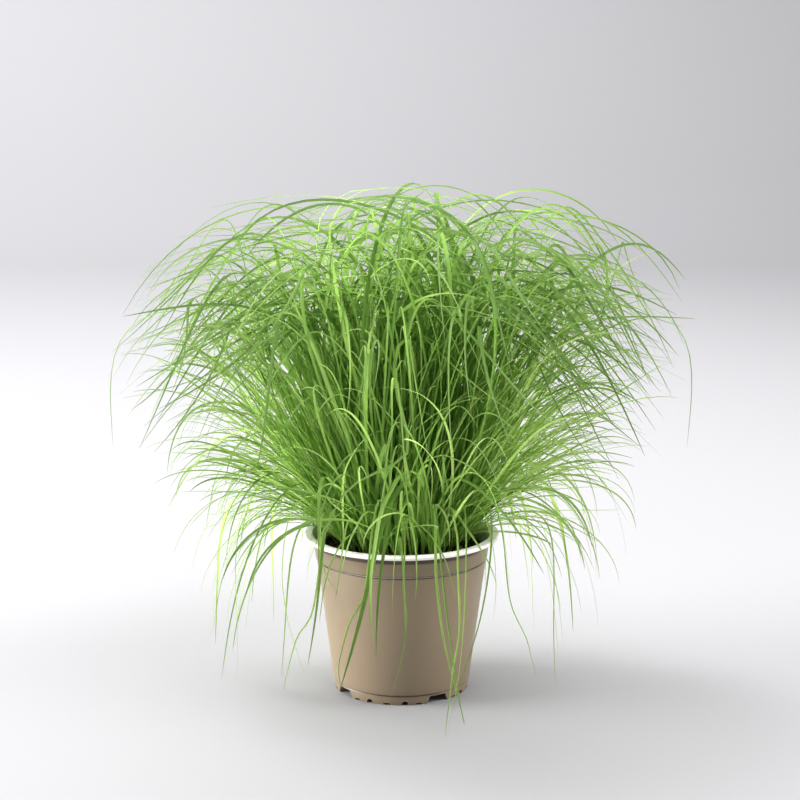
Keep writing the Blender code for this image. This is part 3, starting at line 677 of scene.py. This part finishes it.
def frame_leaves(node):
    """The leaves of one of the frame's shoots, read back from its solid, from its foot to each tip.

    Each leaf of the solid is a chain of three-cornered rings that ends in a tip, so the rings are found
    by stepping back from the tip until more than three corners are met at once."""
    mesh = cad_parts[node].data
    corners = np.empty(3 * len(mesh.vertices))
    mesh.vertices.foreach_get("co", corners)
    places, same = np.unique(corners.reshape(-1, 3).round(7), axis=0, return_inverse=True)
    same = same.ravel()
    beside = [set() for _ in places]
    for edge in mesh.edges:
        a, b = (int(same[k]) for k in edge.vertices)
        if a != b:
            beside[a].add(b)
            beside[b].add(a)
    chains, in_leaves = [], set()
    for tip in range(len(places)):
        if len(beside[tip]) != 3:
            continue
        met, ring, line, widest = {tip}, {tip}, [places[tip]], 0.0
        while True:
            ring = set().union(*(beside[k] for k in ring)) - met
            if len(ring) != 3:
                break
            met |= ring
            three = places[sorted(ring)]
            line.append(three.mean(axis=0))
            widest = max(widest, np.linalg.norm(three - np.roll(three, 1, axis=0), axis=1).max())
        if len(line) > 4 and widest < 5.0 * MM:
            chains.append((line, widest))
            in_leaves |= met
    sheath = places[[k for k in range(len(places)) if k not in in_leaves]]
    base = sheath[sheath[:, 2] < sheath[:, 2].min() + 0.5 * MM].mean(axis=0)
    leaves = []
    for line, widest in chains:
        start = base + 0.3 * (line[-1] - base) * np.array((1.0, 1.0, 0.0)) - np.array((0.0, 0.0, MM))
        soft = smooth_line([start] + line[::-1])
        for _ in range(8):
            soft[1:-1] = (soft[:-2] + 2.0 * soft[1:-1] + soft[2:]) / 4.0
        leaves.append((soft, widest))
    return base, leaves


shoot_bases = {}
own_lines, own_widths = [], []
for name in sorted(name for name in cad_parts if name.startswith("shoot_")):
    shoot_bases[name], leaves = frame_leaves(name)
    for line, width in leaves:
        own_lines.append(line)
        # The leaves that come well forward of the pot are finer, so that they don't hide it.
        own_widths.append(width * (0.75 if line[-1, 1] > -90.0 * MM else 0.45))

# Leaves that catch the eye: the loops and V-shaped fans in front, the leaves that hang over the pot, and
# the broad arches of the crown. Each has its width in mm, its shade from deep green, 0, to yellow-green,
# 1, and the (x, y, z) points in mm that it goes through.
MARKED_LEAVES = (
    (3.5, 0.5, (13, -25, 90), (13, -36, 127), (11, -44, 141), (7, -50, 148), (0, -57, 148), (-5, -63, 142),
     (-10, -68, 133), (-13, -72, 125), (-15, -75, 113), (-17, -76, 100), (-18, -77, 89), (-18, -77, 70),
     (-17, -77, 51)),
    (1.9, 0.97, (17, -34, 90), (15, -42, 128), (13, -46, 140), (12, -48, 147), (14, -50, 151),
     (17, -52, 152), (18, -53, 147), (18, -53, 137), (17, -52, 126), (15, -50, 116)),
    (2.1, 0.65, (9, -30, 90), (10, -38, 127), (11, -46, 148), (16, -50, 155), (24, -55, 159),
     (30, -60, 158), (39, -66, 155), (47, -72, 149), (57, -77, 143), (66, -80, 136)),
    (1.6, 0.6, (-35, -24, 90), (-35, -42, 130), (-34, -48, 145), (-29, -52, 158), (-20, -56, 170),
     (-9, -60, 175), (2, -64, 177)),
    (2.1, 0.7, (-2, -16, 90), (6, -18, 150), (9, -22, 192), (6, -32, 218), (0, -46, 225), (-4, -60, 214),
     (-2, -69, 195), (3, -74, 178), (4, -75, 167), (-1, -76, 160), (-14, -78, 154), (-30, -79, 145),
     (-40, -80, 129), (-46, -81, 111)),
    (1.6, 0.9, (18, -32, 90), (20, -45, 124), (22, -52, 127), (26, -58, 123), (28, -64, 115),
     (28, -68, 107)),
    (1.7, 0.9, (-12, -28, 90), (-15, -42, 118), (-21, -50, 123), (-25, -57, 119), (-30, -63, 110),
     (-33, -66, 101), (-35, -68, 92)),
    (1.6, 0.55, (22, -24, 90), (26, -38, 121), (31, -46, 123), (38, -54, 115), (46, -60, 104),
     (52, -63, 94), (56, -65, 83)),
    (1.4, 0.5, (-8, -30, 90), (-11, -44, 126), (-14, -54, 130), (-17, -64, 116), (-19, -70, 99),
     (-22, -74, 78), (-30, -77, 64), (-35, -79, 47), (-37, -80, 35), (-35, -80, 24)),
    (0.9, 0.35, (3, -32, 90), (1, -46, 117), (2, -56, 123), (2, -66, 104), (1, -70, 81), (3, -72, 65),
     (0, -75, 40), (-5, -77, 22)),
    (1.6, 0.75, (20, -30, 90), (18, -44, 120), (20, -54, 128), (20, -64, 113), (20, -72, 94), (22, -78, 73),
     (25, -84, 53), (30, -88, 33), (37, -92, 6)),
    (1.4, 0.6, (26, -24, 90), (26, -40, 114), (30, -50, 122), (33, -60, 109), (33, -68, 95), (34, -80, 62),
     (30, -92, 40), (25, -106, 5)),
    (1.4, 0.65, (-28, -20, 90), (-32, -34, 117), (-39, -42, 124), (-46, -50, 112), (-48, -56, 95),
     (-53, -62, 64), (-62, -66, 50), (-70, -70, 20)),
    (1.5, 0.7, (-33, -16, 90), (-41, -26, 118), (-55, -36, 130), (-67, -44, 117), (-71, -50, 85),
     (-68, -54, 60), (-64, -57, 45), (-58, -60, 27)),
    (1.3, 0.6, (-34, -22, 90), (-39, -36, 115), (-46, -46, 122), (-48, -54, 113), (-47, -58, 96),
     (-43, -61, 85), (-38, -63, 78)),
    (1.5, 0.6, (34, -14, 90), (37, -22, 120), (51, -30, 132), (60, -38, 109), (65, -44, 67), (75, -48, 44),
     (81, -50, 20)),
    (1.3, 0.5, (30, -20, 90), (33, -34, 117), (46, -42, 125), (54, -50, 103), (56, -56, 77), (54, -60, 59)),
    (1.3, 0.6, (6, -34, 90), (3, -48, 115), (5, -56, 120), (8, -64, 107), (9, -68, 90), (8, -70, 73)),
    (1.2, 0.7, (-22, -30, 90), (-27, -44, 114), (-31, -52, 119), (-34, -60, 109), (-36, -65, 92),
     (-39, -68, 74)),
    (2.6, 0.96, (18, -22, 90), (22, -26, 121), (32, -32, 144), (44, -38, 164), (59, -44, 177),
     (73, -50, 184)),
    (2.4, 1.0, (22, -20, 90), (26, -24, 119), (36, -32, 140), (52, -40, 158), (67, -46, 168),
     (83, -52, 171)),
    (2.3, 0.92, (24, -16, 90), (28, -20, 117), (43, -28, 134), (59, -36, 149), (76, -44, 155),
     (92, -50, 153)),
    (2.2, 0.88, (14, -22, 90), (19, -26, 124), (26, -32, 151), (35, -38, 174), (46, -44, 191),
     (60, -50, 201)),
    (2.2, 0.94, (26, -20, 90), (31, -26, 115), (44, -34, 131), (57, -42, 143), (71, -48, 148)),
    (4.8, 0.45, (-14, -12, 90), (-19, -20, 160), (-33, -30, 223), (-40, -36, 267), (-42, -36, 288),
     (-37, -32, 299), (-24, -24, 305), (-5, -16, 304)),
    (4.6, 1.0, (-22, -24, 90), (-26, -34, 145), (-40, -44, 189), (-50, -50, 219), (-58, -54, 239),
     (-64, -58, 257)),
    (4.2, 0.4, (12, -10, 90), (10, -18, 166), (20, -22, 221), (28, -24, 264), (35, -22, 286),
     (44, -18, 295), (57, -12, 297), (74, -6, 289)),
    (3.4, 0.45, (-26, -6, 90), (-32, -12, 158), (-51, -18, 221), (-63, -22, 268), (-64, -22, 290),
     (-57, -18, 300), (-41, -10, 304)),
    (1.8, 0.4, (-20, 4, 90), (-31, 0, 181), (-49, 0, 248), (-50, 0, 287), (-38, 0, 305), (-14, 4, 309),
     (10, 8, 308), (31, 10, 300), (53, 10, 282), (66, 8, 264)),
    (1.6, 0.5, (-16, 14, 90), (-33, 18, 177), (-46, 18, 252), (-41, 20, 291), (-26, 20, 305), (-5, 20, 308),
     (16, 20, 306), (41, 20, 297), (64, 22, 278)),
    (1.7, 0.45, (10, 8, 90), (10, 8, 179), (24, 6, 241), (28, 4, 278), (20, 2, 299), (1, 0, 305),
     (-20, -4, 302), (-40, -8, 288), (-55, -12, 267)),
    (1.8, 0.5, (20, 0, 90), (23, 0, 181), (40, 0, 242), (50, 0, 278), (45, -2, 298), (28, -4, 305),
     (7, -8, 301), (-11, -12, 285), (-21, -16, 264)),
)
marked_lines = [smooth_line([Vector(point) * MM for point in points]) for _, _, *points in MARKED_LEAVES]
marked = slice(len(own_lines), len(own_lines) + len(MARKED_LEAVES))

habits = [
    [np.array(own_lines), np.array(own_widths), random_numbers.uniform(-0.05, 0.4, len(own_lines))],
    [np.array(marked_lines), np.array([width * MM for width, *_ in MARKED_LEAVES]),
     # drawn at 0.7 of their listed shades, a painted shade that tones down these front leaves where light
     # falls full on them
     0.7 * np.array([shade for _, shade, *_ in MARKED_LEAVES])],
    # Fine leaves all over the fan, then more of them round its rim, and broader ones
    grown_leaves(400, (0, 1), (22, 90, 17), (0.35, 0.92), (1, 1.9), (0.5, 1), (6, 36),
                 front=0.12, back=0.7),
    grown_leaves(310, (0.55, 1), (50, 90, 14), (0.5, 0.97), (1, 1.9), (0.45, 1), (6, 40),
                 front=0.12, back=0.8),
    grown_leaves(140, (0, 1), (30, 92, 18), (0.7, 1), (1.7, 2.9), (0.1, 0.5), (14, 50),
                 front=0.08, back=0.7),
    # A few of the broadest
    grown_leaves(24, (0.1, 0.8), (26, 70, 14), (0.75, 0.98), (3.4, 4.6), (0.1, 0.6), (14, 50),
                 front=0),
    # Leaves that stand out level, that arch out and down, and that hang beside the pot
    grown_leaves(60, (0.5, 1), (98, 112, 12), (0.5, 0.85), (1.1, 2.2), (0.2, 0.9), (40, 80),
                 front=0.08, back=0.8),
    grown_leaves(90, (0.5, 1), (96, 114, 14), (0.8, 1), (1.5, 2.6), (0.1, 0.7), (60, 100),
                 (0.5, 0.8), front=0.08, back=0.8),
    grown_leaves(56, (0.72, 1), (124, 128, 10), (0.75, 1), (1.4, 2.4), (0.2, 0.8), (80, 105),
                 (0.7, 1.05), front=0.12, back=0.8),
    # The crown: arches that come down on the side that they lean to, and arches that cross it
    tall_arches(250, (0, 40), (56, 98), (8, 44), (1.6, 2.8), (-0.1, 0.4), front=0.25, back=0.6),
    tall_arches(170, (97, 180), (30, 84), (8, 38), (1.5, 2.8), (-0.1, 0.4), front=0.25, back=0.6),
    # Young leaves, short and thin, and a few short broader ones at the rim
    grown_leaves(130, (0.1, 0.9), (26, 62, 14), (0.4, 0.75), (0.6, 1), (0.4, 0.9), (50, 90),
                 front=1),
    grown_leaves(24, (0.5, 1), (50, 84, 16), (0.1, 0.5), (1.3, 2.2), (0.4, 1), (10, 70),
                 front=0.5),
]
leaf_lines, leaf_widths, leaf_shades = (np.concatenate(parts) for parts in zip(*habits))
# Painted light and shade: leaves in the heart of the plant and at its back are made paler, to lift the shade
# that falls among them, and the outer and front ones deeper green, to tone down the light that falls full on
# them. The marked leaves keep their own shades.
heart = np.array((0.0, 0.0, GRASS_MIDDLE - 20.0 * MM))
outwards = np.linalg.norm(leaf_lines[:, 6:20].mean(axis=1) - heart, axis=1)
painted_light_tone = 0.46 - 0.6 * np.clip(outwards / (130.0 * MM), 0.0, 1.0)
painted_light_tone += 0.28 * np.clip(leaf_lines[:, 8, 1] / (40.0 * MM), -1.0, 1.0)
painted_light_tone[marked] = 0.0
leaf_shades = leaf_shades + painted_light_tone


def leaf_sides(lines, twists):
    """The way across each leaf at each of its points: level at first, carried along, with a slow twist."""
    steps = np.gradient(lines, axis=1)
    steps /= np.linalg.norm(steps, axis=2, keepdims=True)
    out = lines[:, -1] - lines[:, 0]
    side = np.stack((-out[:, 1], out[:, 0], np.zeros(len(out))), axis=1)
    side /= np.linalg.norm(side, axis=1, keepdims=True) + 1e-9
    sides = np.empty_like(lines)
    for k in range(lines.shape[1]):
        side = side - (side * steps[:, k]).sum(axis=1, keepdims=True) * steps[:, k]
        side /= np.linalg.norm(side, axis=1, keepdims=True) + 1e-9
        sides[:, k] = side
    turn = (twists[:, None] * np.linspace(0.0, 1.0, lines.shape[1]) ** 1.3)[..., None]
    return sides * np.cos(turn) + np.cross(steps, sides) * np.sin(turn)


def leaf_guide(lines, half_widths, sides, shades):
    """One mesh of guide lines, with what the leaf tree reads at each point."""
    count, points = lines.shape[:2]
    starts = np.arange(count * points).reshape(count, points)
    edges = np.stack((starts[:, :-1].ravel(), starts[:, 1:].ravel()), axis=1)
    mesh = bpy.data.meshes.new("leaf guide")
    mesh.from_pydata(lines.reshape(-1, 3).tolist(), edges.tolist(), [])
    steps = np.linalg.norm(np.diff(lines, axis=1), axis=2)
    along = np.concatenate((np.zeros((count, 1)), np.cumsum(steps, axis=1)), axis=1)
    along /= along[:, -1:]
    column = np.repeat(np.floor(shades * COLUMNS).clip(0, COLUMNS - 1), points)
    for label, kind, values in (("half_width", "FLOAT", half_widths), ("along", "FLOAT", along),
                                ("column", "FLOAT", column), ("across_way", "FLOAT_VECTOR", sides)):
        attribute = mesh.attributes.new(label, kind, "POINT")
        attribute.data.foreach_set("vector" if kind == "FLOAT_VECTOR" else "value",
                                   np.ascontiguousarray(values, np.float32).ravel())
    return mesh


def leaf_tree():
    """Sweeps a keeled section along each guide line, and lays a map across and along each leaf.

    Keel and Thickness are shares of the leaf's half-width."""
    tree, given, add = new_shape_tree("keeled leaves", ("Keel", "Thickness", "Columns"))
    read = {label: add("GeometryNodeInputNamedAttribute", {"Name": label}, data_type=kind)
            for label, kind in (("half_width", "FLOAT"), ("along", "FLOAT"), ("column", "FLOAT"),
                                ("across", "FLOAT"), ("across_way", "FLOAT_VECTOR"))}
    line = add("GeometryNodeMeshToCurve", {"Mesh": given["Geometry"]})
    laid = add("GeometryNodeSetCurveNormal", {"Curve": line, "Normal": read["across_way"]}, mode="FREE")
    depth = add("ShaderNodeMath", {0: given["Keel"], 1: -1.0}, operation="MULTIPLY")
    keel = add("ShaderNodeCombineXYZ", {"Y": depth})
    lift = add("ShaderNodeMath", {0: depth, 1: given["Thickness"]}, operation="ADD")
    fold = add("ShaderNodeCombineXYZ", {"Y": lift})
    section = add("GeometryNodeCurvePrimitiveQuadrilateral", {
        "Point 1": (-1.0, 0.0, 0.0), "Point 2": keel, "Point 3": (1.0, 0.0, 0.0), "Point 4": fold},
        mode="POINTS")
    place = add("ShaderNodeSeparateXYZ", {"Vector": add("GeometryNodeInputPosition")})
    across = add("ShaderNodeMath", {0: place.outputs["X"], 1: 0.46, 2: 0.5}, operation="MULTIPLY_ADD")
    named = add("GeometryNodeStoreNamedAttribute", {
        "Geometry": section, "Name": "across", "Value": across}, data_type="FLOAT", domain="POINT")
    swept = add("GeometryNodeCurveToMesh", {
        "Curve": laid, "Profile Curve": named, "Scale": read["half_width"], "Fill Caps": True})
    spot = add("ShaderNodeMath", {0: read["column"], 1: read["across"]}, operation="ADD")
    share = add("ShaderNodeMath", {0: spot, 1: given["Columns"]}, operation="DIVIDE")
    flat = add("ShaderNodeCombineXYZ", {"X": share, "Y": read["along"]})
    mapped = add("GeometryNodeStoreNamedAttribute", {
        "Geometry": swept, "Name": "OFBake", "Value": flat}, data_type="FLOAT2", domain="CORNER")
    real = add("GeometryNodeRealizeInstances", {"Geometry": mapped})
    finished = add("GeometryNodeSetMaterial", {"Geometry": real, "Material": given["Material"]})
    add("NodeGroupOutput", {0: finished})
    return tree


def leaf_finish():
    """Living grass leaf: satin green with a paler midrib, that glows yellow-green where light comes through.

    It is pale and fresh low down, deeper green and older towards the tip, and dry at the very tip of some
    leaves; the very foot is darkened to a dark brown with painted shade, where the leaves crowd into the
    soil.
    Thin young leaves let the most light through."""
    finish, add = new_finish("grass leaf")
    chart = add("ShaderNodeUVMap", uv_map="OFBake")
    spot = add("ShaderNodeSeparateXYZ", {"Vector": chart})
    along = spot.outputs["Y"]
    wide = add("ShaderNodeMath", {0: spot.outputs["X"], 1: COLUMNS}, operation="MULTIPLY")
    column = add("ShaderNodeMath", {0: wide}, operation="FLOOR")
    across = add("ShaderNodeMath", {0: wide}, operation="FRACT")
    shade = add("ShaderNodeMath", {0: column, 1: COLUMNS - 1.0}, operation="DIVIDE")
    long_way = add("ShaderNodeCombineXYZ", {"X": wide, "Y": along})
    stretched = add("ShaderNodeMapping", {"Vector": long_way, "Scale": (1.3, 14.0, 1.0)})
    patches = add("ShaderNodeTexNoise", {"Vector": stretched, "Scale": 1.0, "Detail": 2.0})
    drift = add("ShaderNodeMath", {0: patches, 1: 0.5, 2: -0.25}, operation="MULTIPLY_ADD")
    tone = add("ShaderNodeMath", {0: shade, 1: drift}, operation="ADD", use_clamp=True)
    greens = add("ShaderNodeValToRGB", {"Fac": tone})
    fill_ramp(greens.color_ramp, ((0.0, linear("#6C9640")), (0.3, linear("#96BC5C")),
                                  (0.6, linear("#B6D280")), (0.85, linear("#C4DA8E")),
                                  (1.0, linear("#CFE19E"))))
    rib_way = add("ShaderNodeMath", {0: across, 1: 0.5}, operation="SUBTRACT")
    rib_gap = add("ShaderNodeMath", {0: rib_way}, operation="ABSOLUTE")
    rib = add("ShaderNodeMapRange", {
        "Value": rib_gap, "From Min": 0.03, "From Max": 0.13, "To Min": 0.3, "To Max": 0.0})
    colour = add("ShaderNodeMix", {0: rib, 6: greens, 7: linear("#BCDC78")}, data_type="RGBA")
    # Three bands along each leaf: a paler fresh base, deeper older green towards the tip, and at the very
    # foot a dark brown painted shade where the leaves crowd into the soil.
    for code, start, end, first, last, ease in (
            ("#8ABE48", 0.02, 0.22, 0.7, 0.0, "SMOOTHSTEP"), ("#5C783A", 0.5, 1.0, 0.0, 0.8, "LINEAR"),
            ("#4A4424", 0.0, 0.06, 0.9, 0.0, "LINEAR")):
        share = add("ShaderNodeMapRange", {
            "Value": along, "From Min": start, "From Max": end, "To Min": first, "To Max": last},
            interpolation_type=ease)
        colour = add("ShaderNodeMix", {0: share, 6: colour, 7: linear(code)}, data_type="RGBA")
    chance = add("ShaderNodeTexWhiteNoise", {"W": column}, noise_dimensions="1D")
    some = add("ShaderNodeMath", {0: chance, 1: 0.6}, operation="GREATER_THAN")
    dry = add("ShaderNodeMapRange", {
        "Value": along, "From Min": 0.965, "From Max": 0.985, "To Min": 0.0, "To Max": 0.8})
    dried = add("ShaderNodeMath", {0: dry, 1: some}, operation="MULTIPLY")
    colour = add("ShaderNodeMix", {0: dried, 6: colour, 7: linear("#9A7F4B")}, data_type="RGBA")
    young = add("ShaderNodeMapRange", {"Value": tone, "To Min": 0.44, "To Max": 0.88})
    lit = add("ShaderNodeMix", {0: young, 6: colour, 7: linear("#E6F5C0")}, data_type="RGBA")
    # Real veins are about 0.1 mm apart, too fine to show: there are eight across a leaf here.
    veins = add("ShaderNodeMath", {0: across, 1: 50.0}, operation="MULTIPLY")
    ridges = add("ShaderNodeMath", {0: veins}, operation="SINE")
    bump = add("ShaderNodeBump", {"Strength": 0.25, "Distance": 0.05 * MM, "Height": ridges})
    sheen = add("ShaderNodeMapRange", {"Value": patches, "To Min": 0.44, "To Max": 0.62})
    skin = add("ShaderNodeBsdfPrincipled", {
        "Base Color": colour, "Roughness": sheen, "IOR": 1.42, "Normal": bump})
    glow = add("ShaderNodeBsdfTranslucent", {"Color": lit})
    thin = add("ShaderNodeMapRange", {
        "Value": along, "From Min": 0.55, "From Max": 0.95, "To Min": 0.88, "To Max": 0.55})
    whole = add("ShaderNodeMixShader", {0: thin, 1: skin, 2: glow})
    add("ShaderNodeOutputMaterial", {"Surface": whole})
    return finish


def side_of_plant(x, y):
    """Which part of the plant a root belongs to."""
    if math.hypot(x, y) < 20.0 * MM:
        return "middle"
    quarter = round(math.degrees(math.atan2(y, x)) / 90.0) % 4
    return ("right", "back", "left", "front")[quarter]


# A leaf widens over its first half, and narrows ever faster to its tip, which is 0.14 mm wide.
t = np.linspace(0.0, 1.0, LEAF_POINTS)[None, :]
taper = (0.55 + 0.45 * np.clip(t / 0.45, 0.0, 1.0)) * (1.0 - t ** 3.4) ** 0.8
half_widths = 0.5 * leaf_widths[:, None] * taper + 0.07 * MM
twists = random_numbers.normal(0.0, math.radians(40.0), len(leaf_lines))
twists[marked] *= 0.25
sides = leaf_sides(leaf_lines, twists)
grass_leaf = leaf_finish()
sweep = leaf_tree()
parts = np.array([side_of_plant(x, y) for x, y in leaf_lines[:, 0, :2]])
for part in ("front", "right", "back", "left", "middle"):
    chosen = parts == part
    guide = leaf_guide(leaf_lines[chosen], half_widths[chosen], sides[chosen], leaf_shades[chosen])
    mesh = shaped(f"leaves_{part}", guide, sweep, {
        "Keel": 0.42, "Thickness": 0.24, "Columns": COLUMNS, "Material": grass_leaf})
    mesh.shade_smooth()
    mesh.set_sharp_from_angle(angle=math.radians(70.0))
    leaves = add_object(f"leaves_{part}", mesh)
    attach(leaves, "root")
    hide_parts(*[name for name, base in shoot_bases.items() if side_of_plant(*base[:2]) == part])

# Sheaths
# At the soil each real tuft is a pale, nearly round bundle of leaf bases wrapped in one another, about as
# thick as a matchstick, from which the green leaves part.
SHEATH_POINTS = 7
sheath_count = TUFTS + len(shoot_bases)
sheath_spots = np.concatenate((tuft_spots, [base[:2] for base in shoot_bases.values()]))
sheath_shares = np.linalg.norm(sheath_spots, axis=1) / TUFT_FIELD
sheath_headings = np.arctan2(sheath_spots[:, 1], sheath_spots[:, 0])
sheath_leans = np.radians(4.0 + 26.0 * sheath_shares ** 1.2)
sheath_lengths = random_numbers.uniform(9.0, 24.0, sheath_count) * MM
sheath_feet = np.column_stack((sheath_spots, [soil_height(x, y) - 2.0 * MM for x, y in sheath_spots]))
climb = np.linspace(0.0, 1.0, SHEATH_POINTS)[None, :, None]
sheath_reaches = ways(sheath_leans, sheath_headings) * sheath_lengths[:, None]
sheath_lines = sheath_feet[:, None] + sheath_reaches[:, None] * climb
sheath_taper = 1.0 - 0.75 * climb[..., 0] ** 2.0
sheath_halves = random_numbers.uniform(0.7, 1.3, sheath_count)[:, None] * MM * sheath_taper
sheath_sides = leaf_sides(sheath_lines, random_numbers.uniform(0.0, math.pi, sheath_count))
sheath_shades = random_numbers.uniform(0.3, 1.0, sheath_count)
sheath_guide = leaf_guide(sheath_lines, sheath_halves, sheath_sides, sheath_shades)
for point in sheath_guide.attributes["along"].data:
    point.value = 0.02 + 0.08 * point.value
sheath_mesh = shaped("leaf_sheaths", sheath_guide, sweep, {
    "Keel": 0.9, "Thickness": 1.8, "Columns": COLUMNS, "Material": grass_leaf})
sheath_mesh.shade_smooth()
sheaths = add_object("leaf_sheaths", sheath_mesh)
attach(sheaths, "root")

# Floor and light
# A seamless pale grey paper sweep. A large soft light stands low at the left and weaker ones at the
# right; weak ones hang over and behind the pot, and one lights the paper's back.
PAPER_FRONT = -2.4
PAPER_BACK = 1.9
PAPER_BEND = 0.9
PAPER_TOP = 3.2
PAPER_HALF_WIDTH = 3.4


def paper_finish():
    """Matt studio paper: pale cool grey, with the faintest cloud so that it isn't a flat tone."""
    finish, add = new_finish("studio paper")
    place = add("ShaderNodeTexCoord").outputs["Object"]
    clouds = add("ShaderNodeTexNoise", {"Vector": place, "Scale": 1.5, "Detail": 2.0})
    tint = add("ShaderNodeMix", {0: clouds, 6: linear("#807F82"), 7: linear("#7E7E80")}, data_type="RGBA")
    shader = add("ShaderNodeBsdfPrincipled", {"Base Color": tint, "Roughness": 0.75})
    add("ShaderNodeOutputMaterial", {"Surface": shader})
    return finish


bend = [(PAPER_BACK + PAPER_BEND * math.sin(a), PAPER_BEND * (1.0 - math.cos(a)))
        for a in np.linspace(0.0, math.pi / 2, 24)]
paper_line = [(PAPER_FRONT, 0.0)] + bend + [(PAPER_BACK + PAPER_BEND, PAPER_TOP)]
paper_bm = bmesh.new()
left = [paper_bm.verts.new((-PAPER_HALF_WIDTH, y, z)) for y, z in paper_line]
right = [paper_bm.verts.new((PAPER_HALF_WIDTH, y, z)) for y, z in paper_line]
for k in range(len(paper_line) - 1):
    paper_bm.faces.new((left[k], right[k], right[k + 1], left[k + 1]))
paper_mesh = mesh_from(paper_bm, "paper sweep")
paper_mesh.materials.append(paper_finish())
paper_mesh.shade_smooth()
paper = add_object("paper_sweep", paper_mesh)


def add_softbox(name, place, aim, size, power, colour):
    """A rectangular soft light at a place, turned to its aim."""
    light = bpy.data.lights.new(name, "AREA")
    light.shape = "RECTANGLE"
    light.size, light.size_y = size
    light.energy = power
    light.color = linear(colour)[:3]
    lamp = add_object(name, light)
    lamp.location = place
    lamp.rotation_euler = (Vector(aim) - Vector(place)).to_track_quat("-Z", "Y").to_euler()


add_softbox("left light", (-1.75, -0.1, 0.7), (0.0, 0.0, 0.1), (1.0, 1.5), 106.0, "#FFFEFB")
add_softbox("right light", (1.8, 0.0, 0.9), (0.0, 0.0, 0.12), (1.0, 1.3), 36.0, "#FFFDF8")
add_softbox("near right light", (0.95, 0.05, 0.8), (0.0, 0.0, 0.12), (0.5, 0.9), 4.0, "#FFFFFF")
add_softbox("rear light", (0.0, 1.0, 1.3), (0.0, 0.0, 0.2), (1.4, 0.7), 22.0, "#FFFFFF")
add_softbox("top light", (0.35, -0.5, 1.4), (0.2, -0.2, 0.0), (1.0, 0.6), 20.0, "#FFFFFF")
add_softbox("backdrop light", (-1.5, 1.4, 2.6), (-0.3, 2.8, 0.9), (2.0, 1.0), 208.0, "#FFFFFF")
world = bpy.data.worlds.new("studio air")
scene.world = world
world.use_nodes = True
air = world.node_tree.nodes["Background"].inputs
air["Color"].default_value = linear("#F2F3F6")
air["Strength"].default_value = 0.5
scene.view_settings.view_transform = "Standard"
# The light that leaves pass on to one another goes through many of them before it is spent.
scene.cycles.max_bounces = 16
scene.cycles.diffuse_bounces = 12
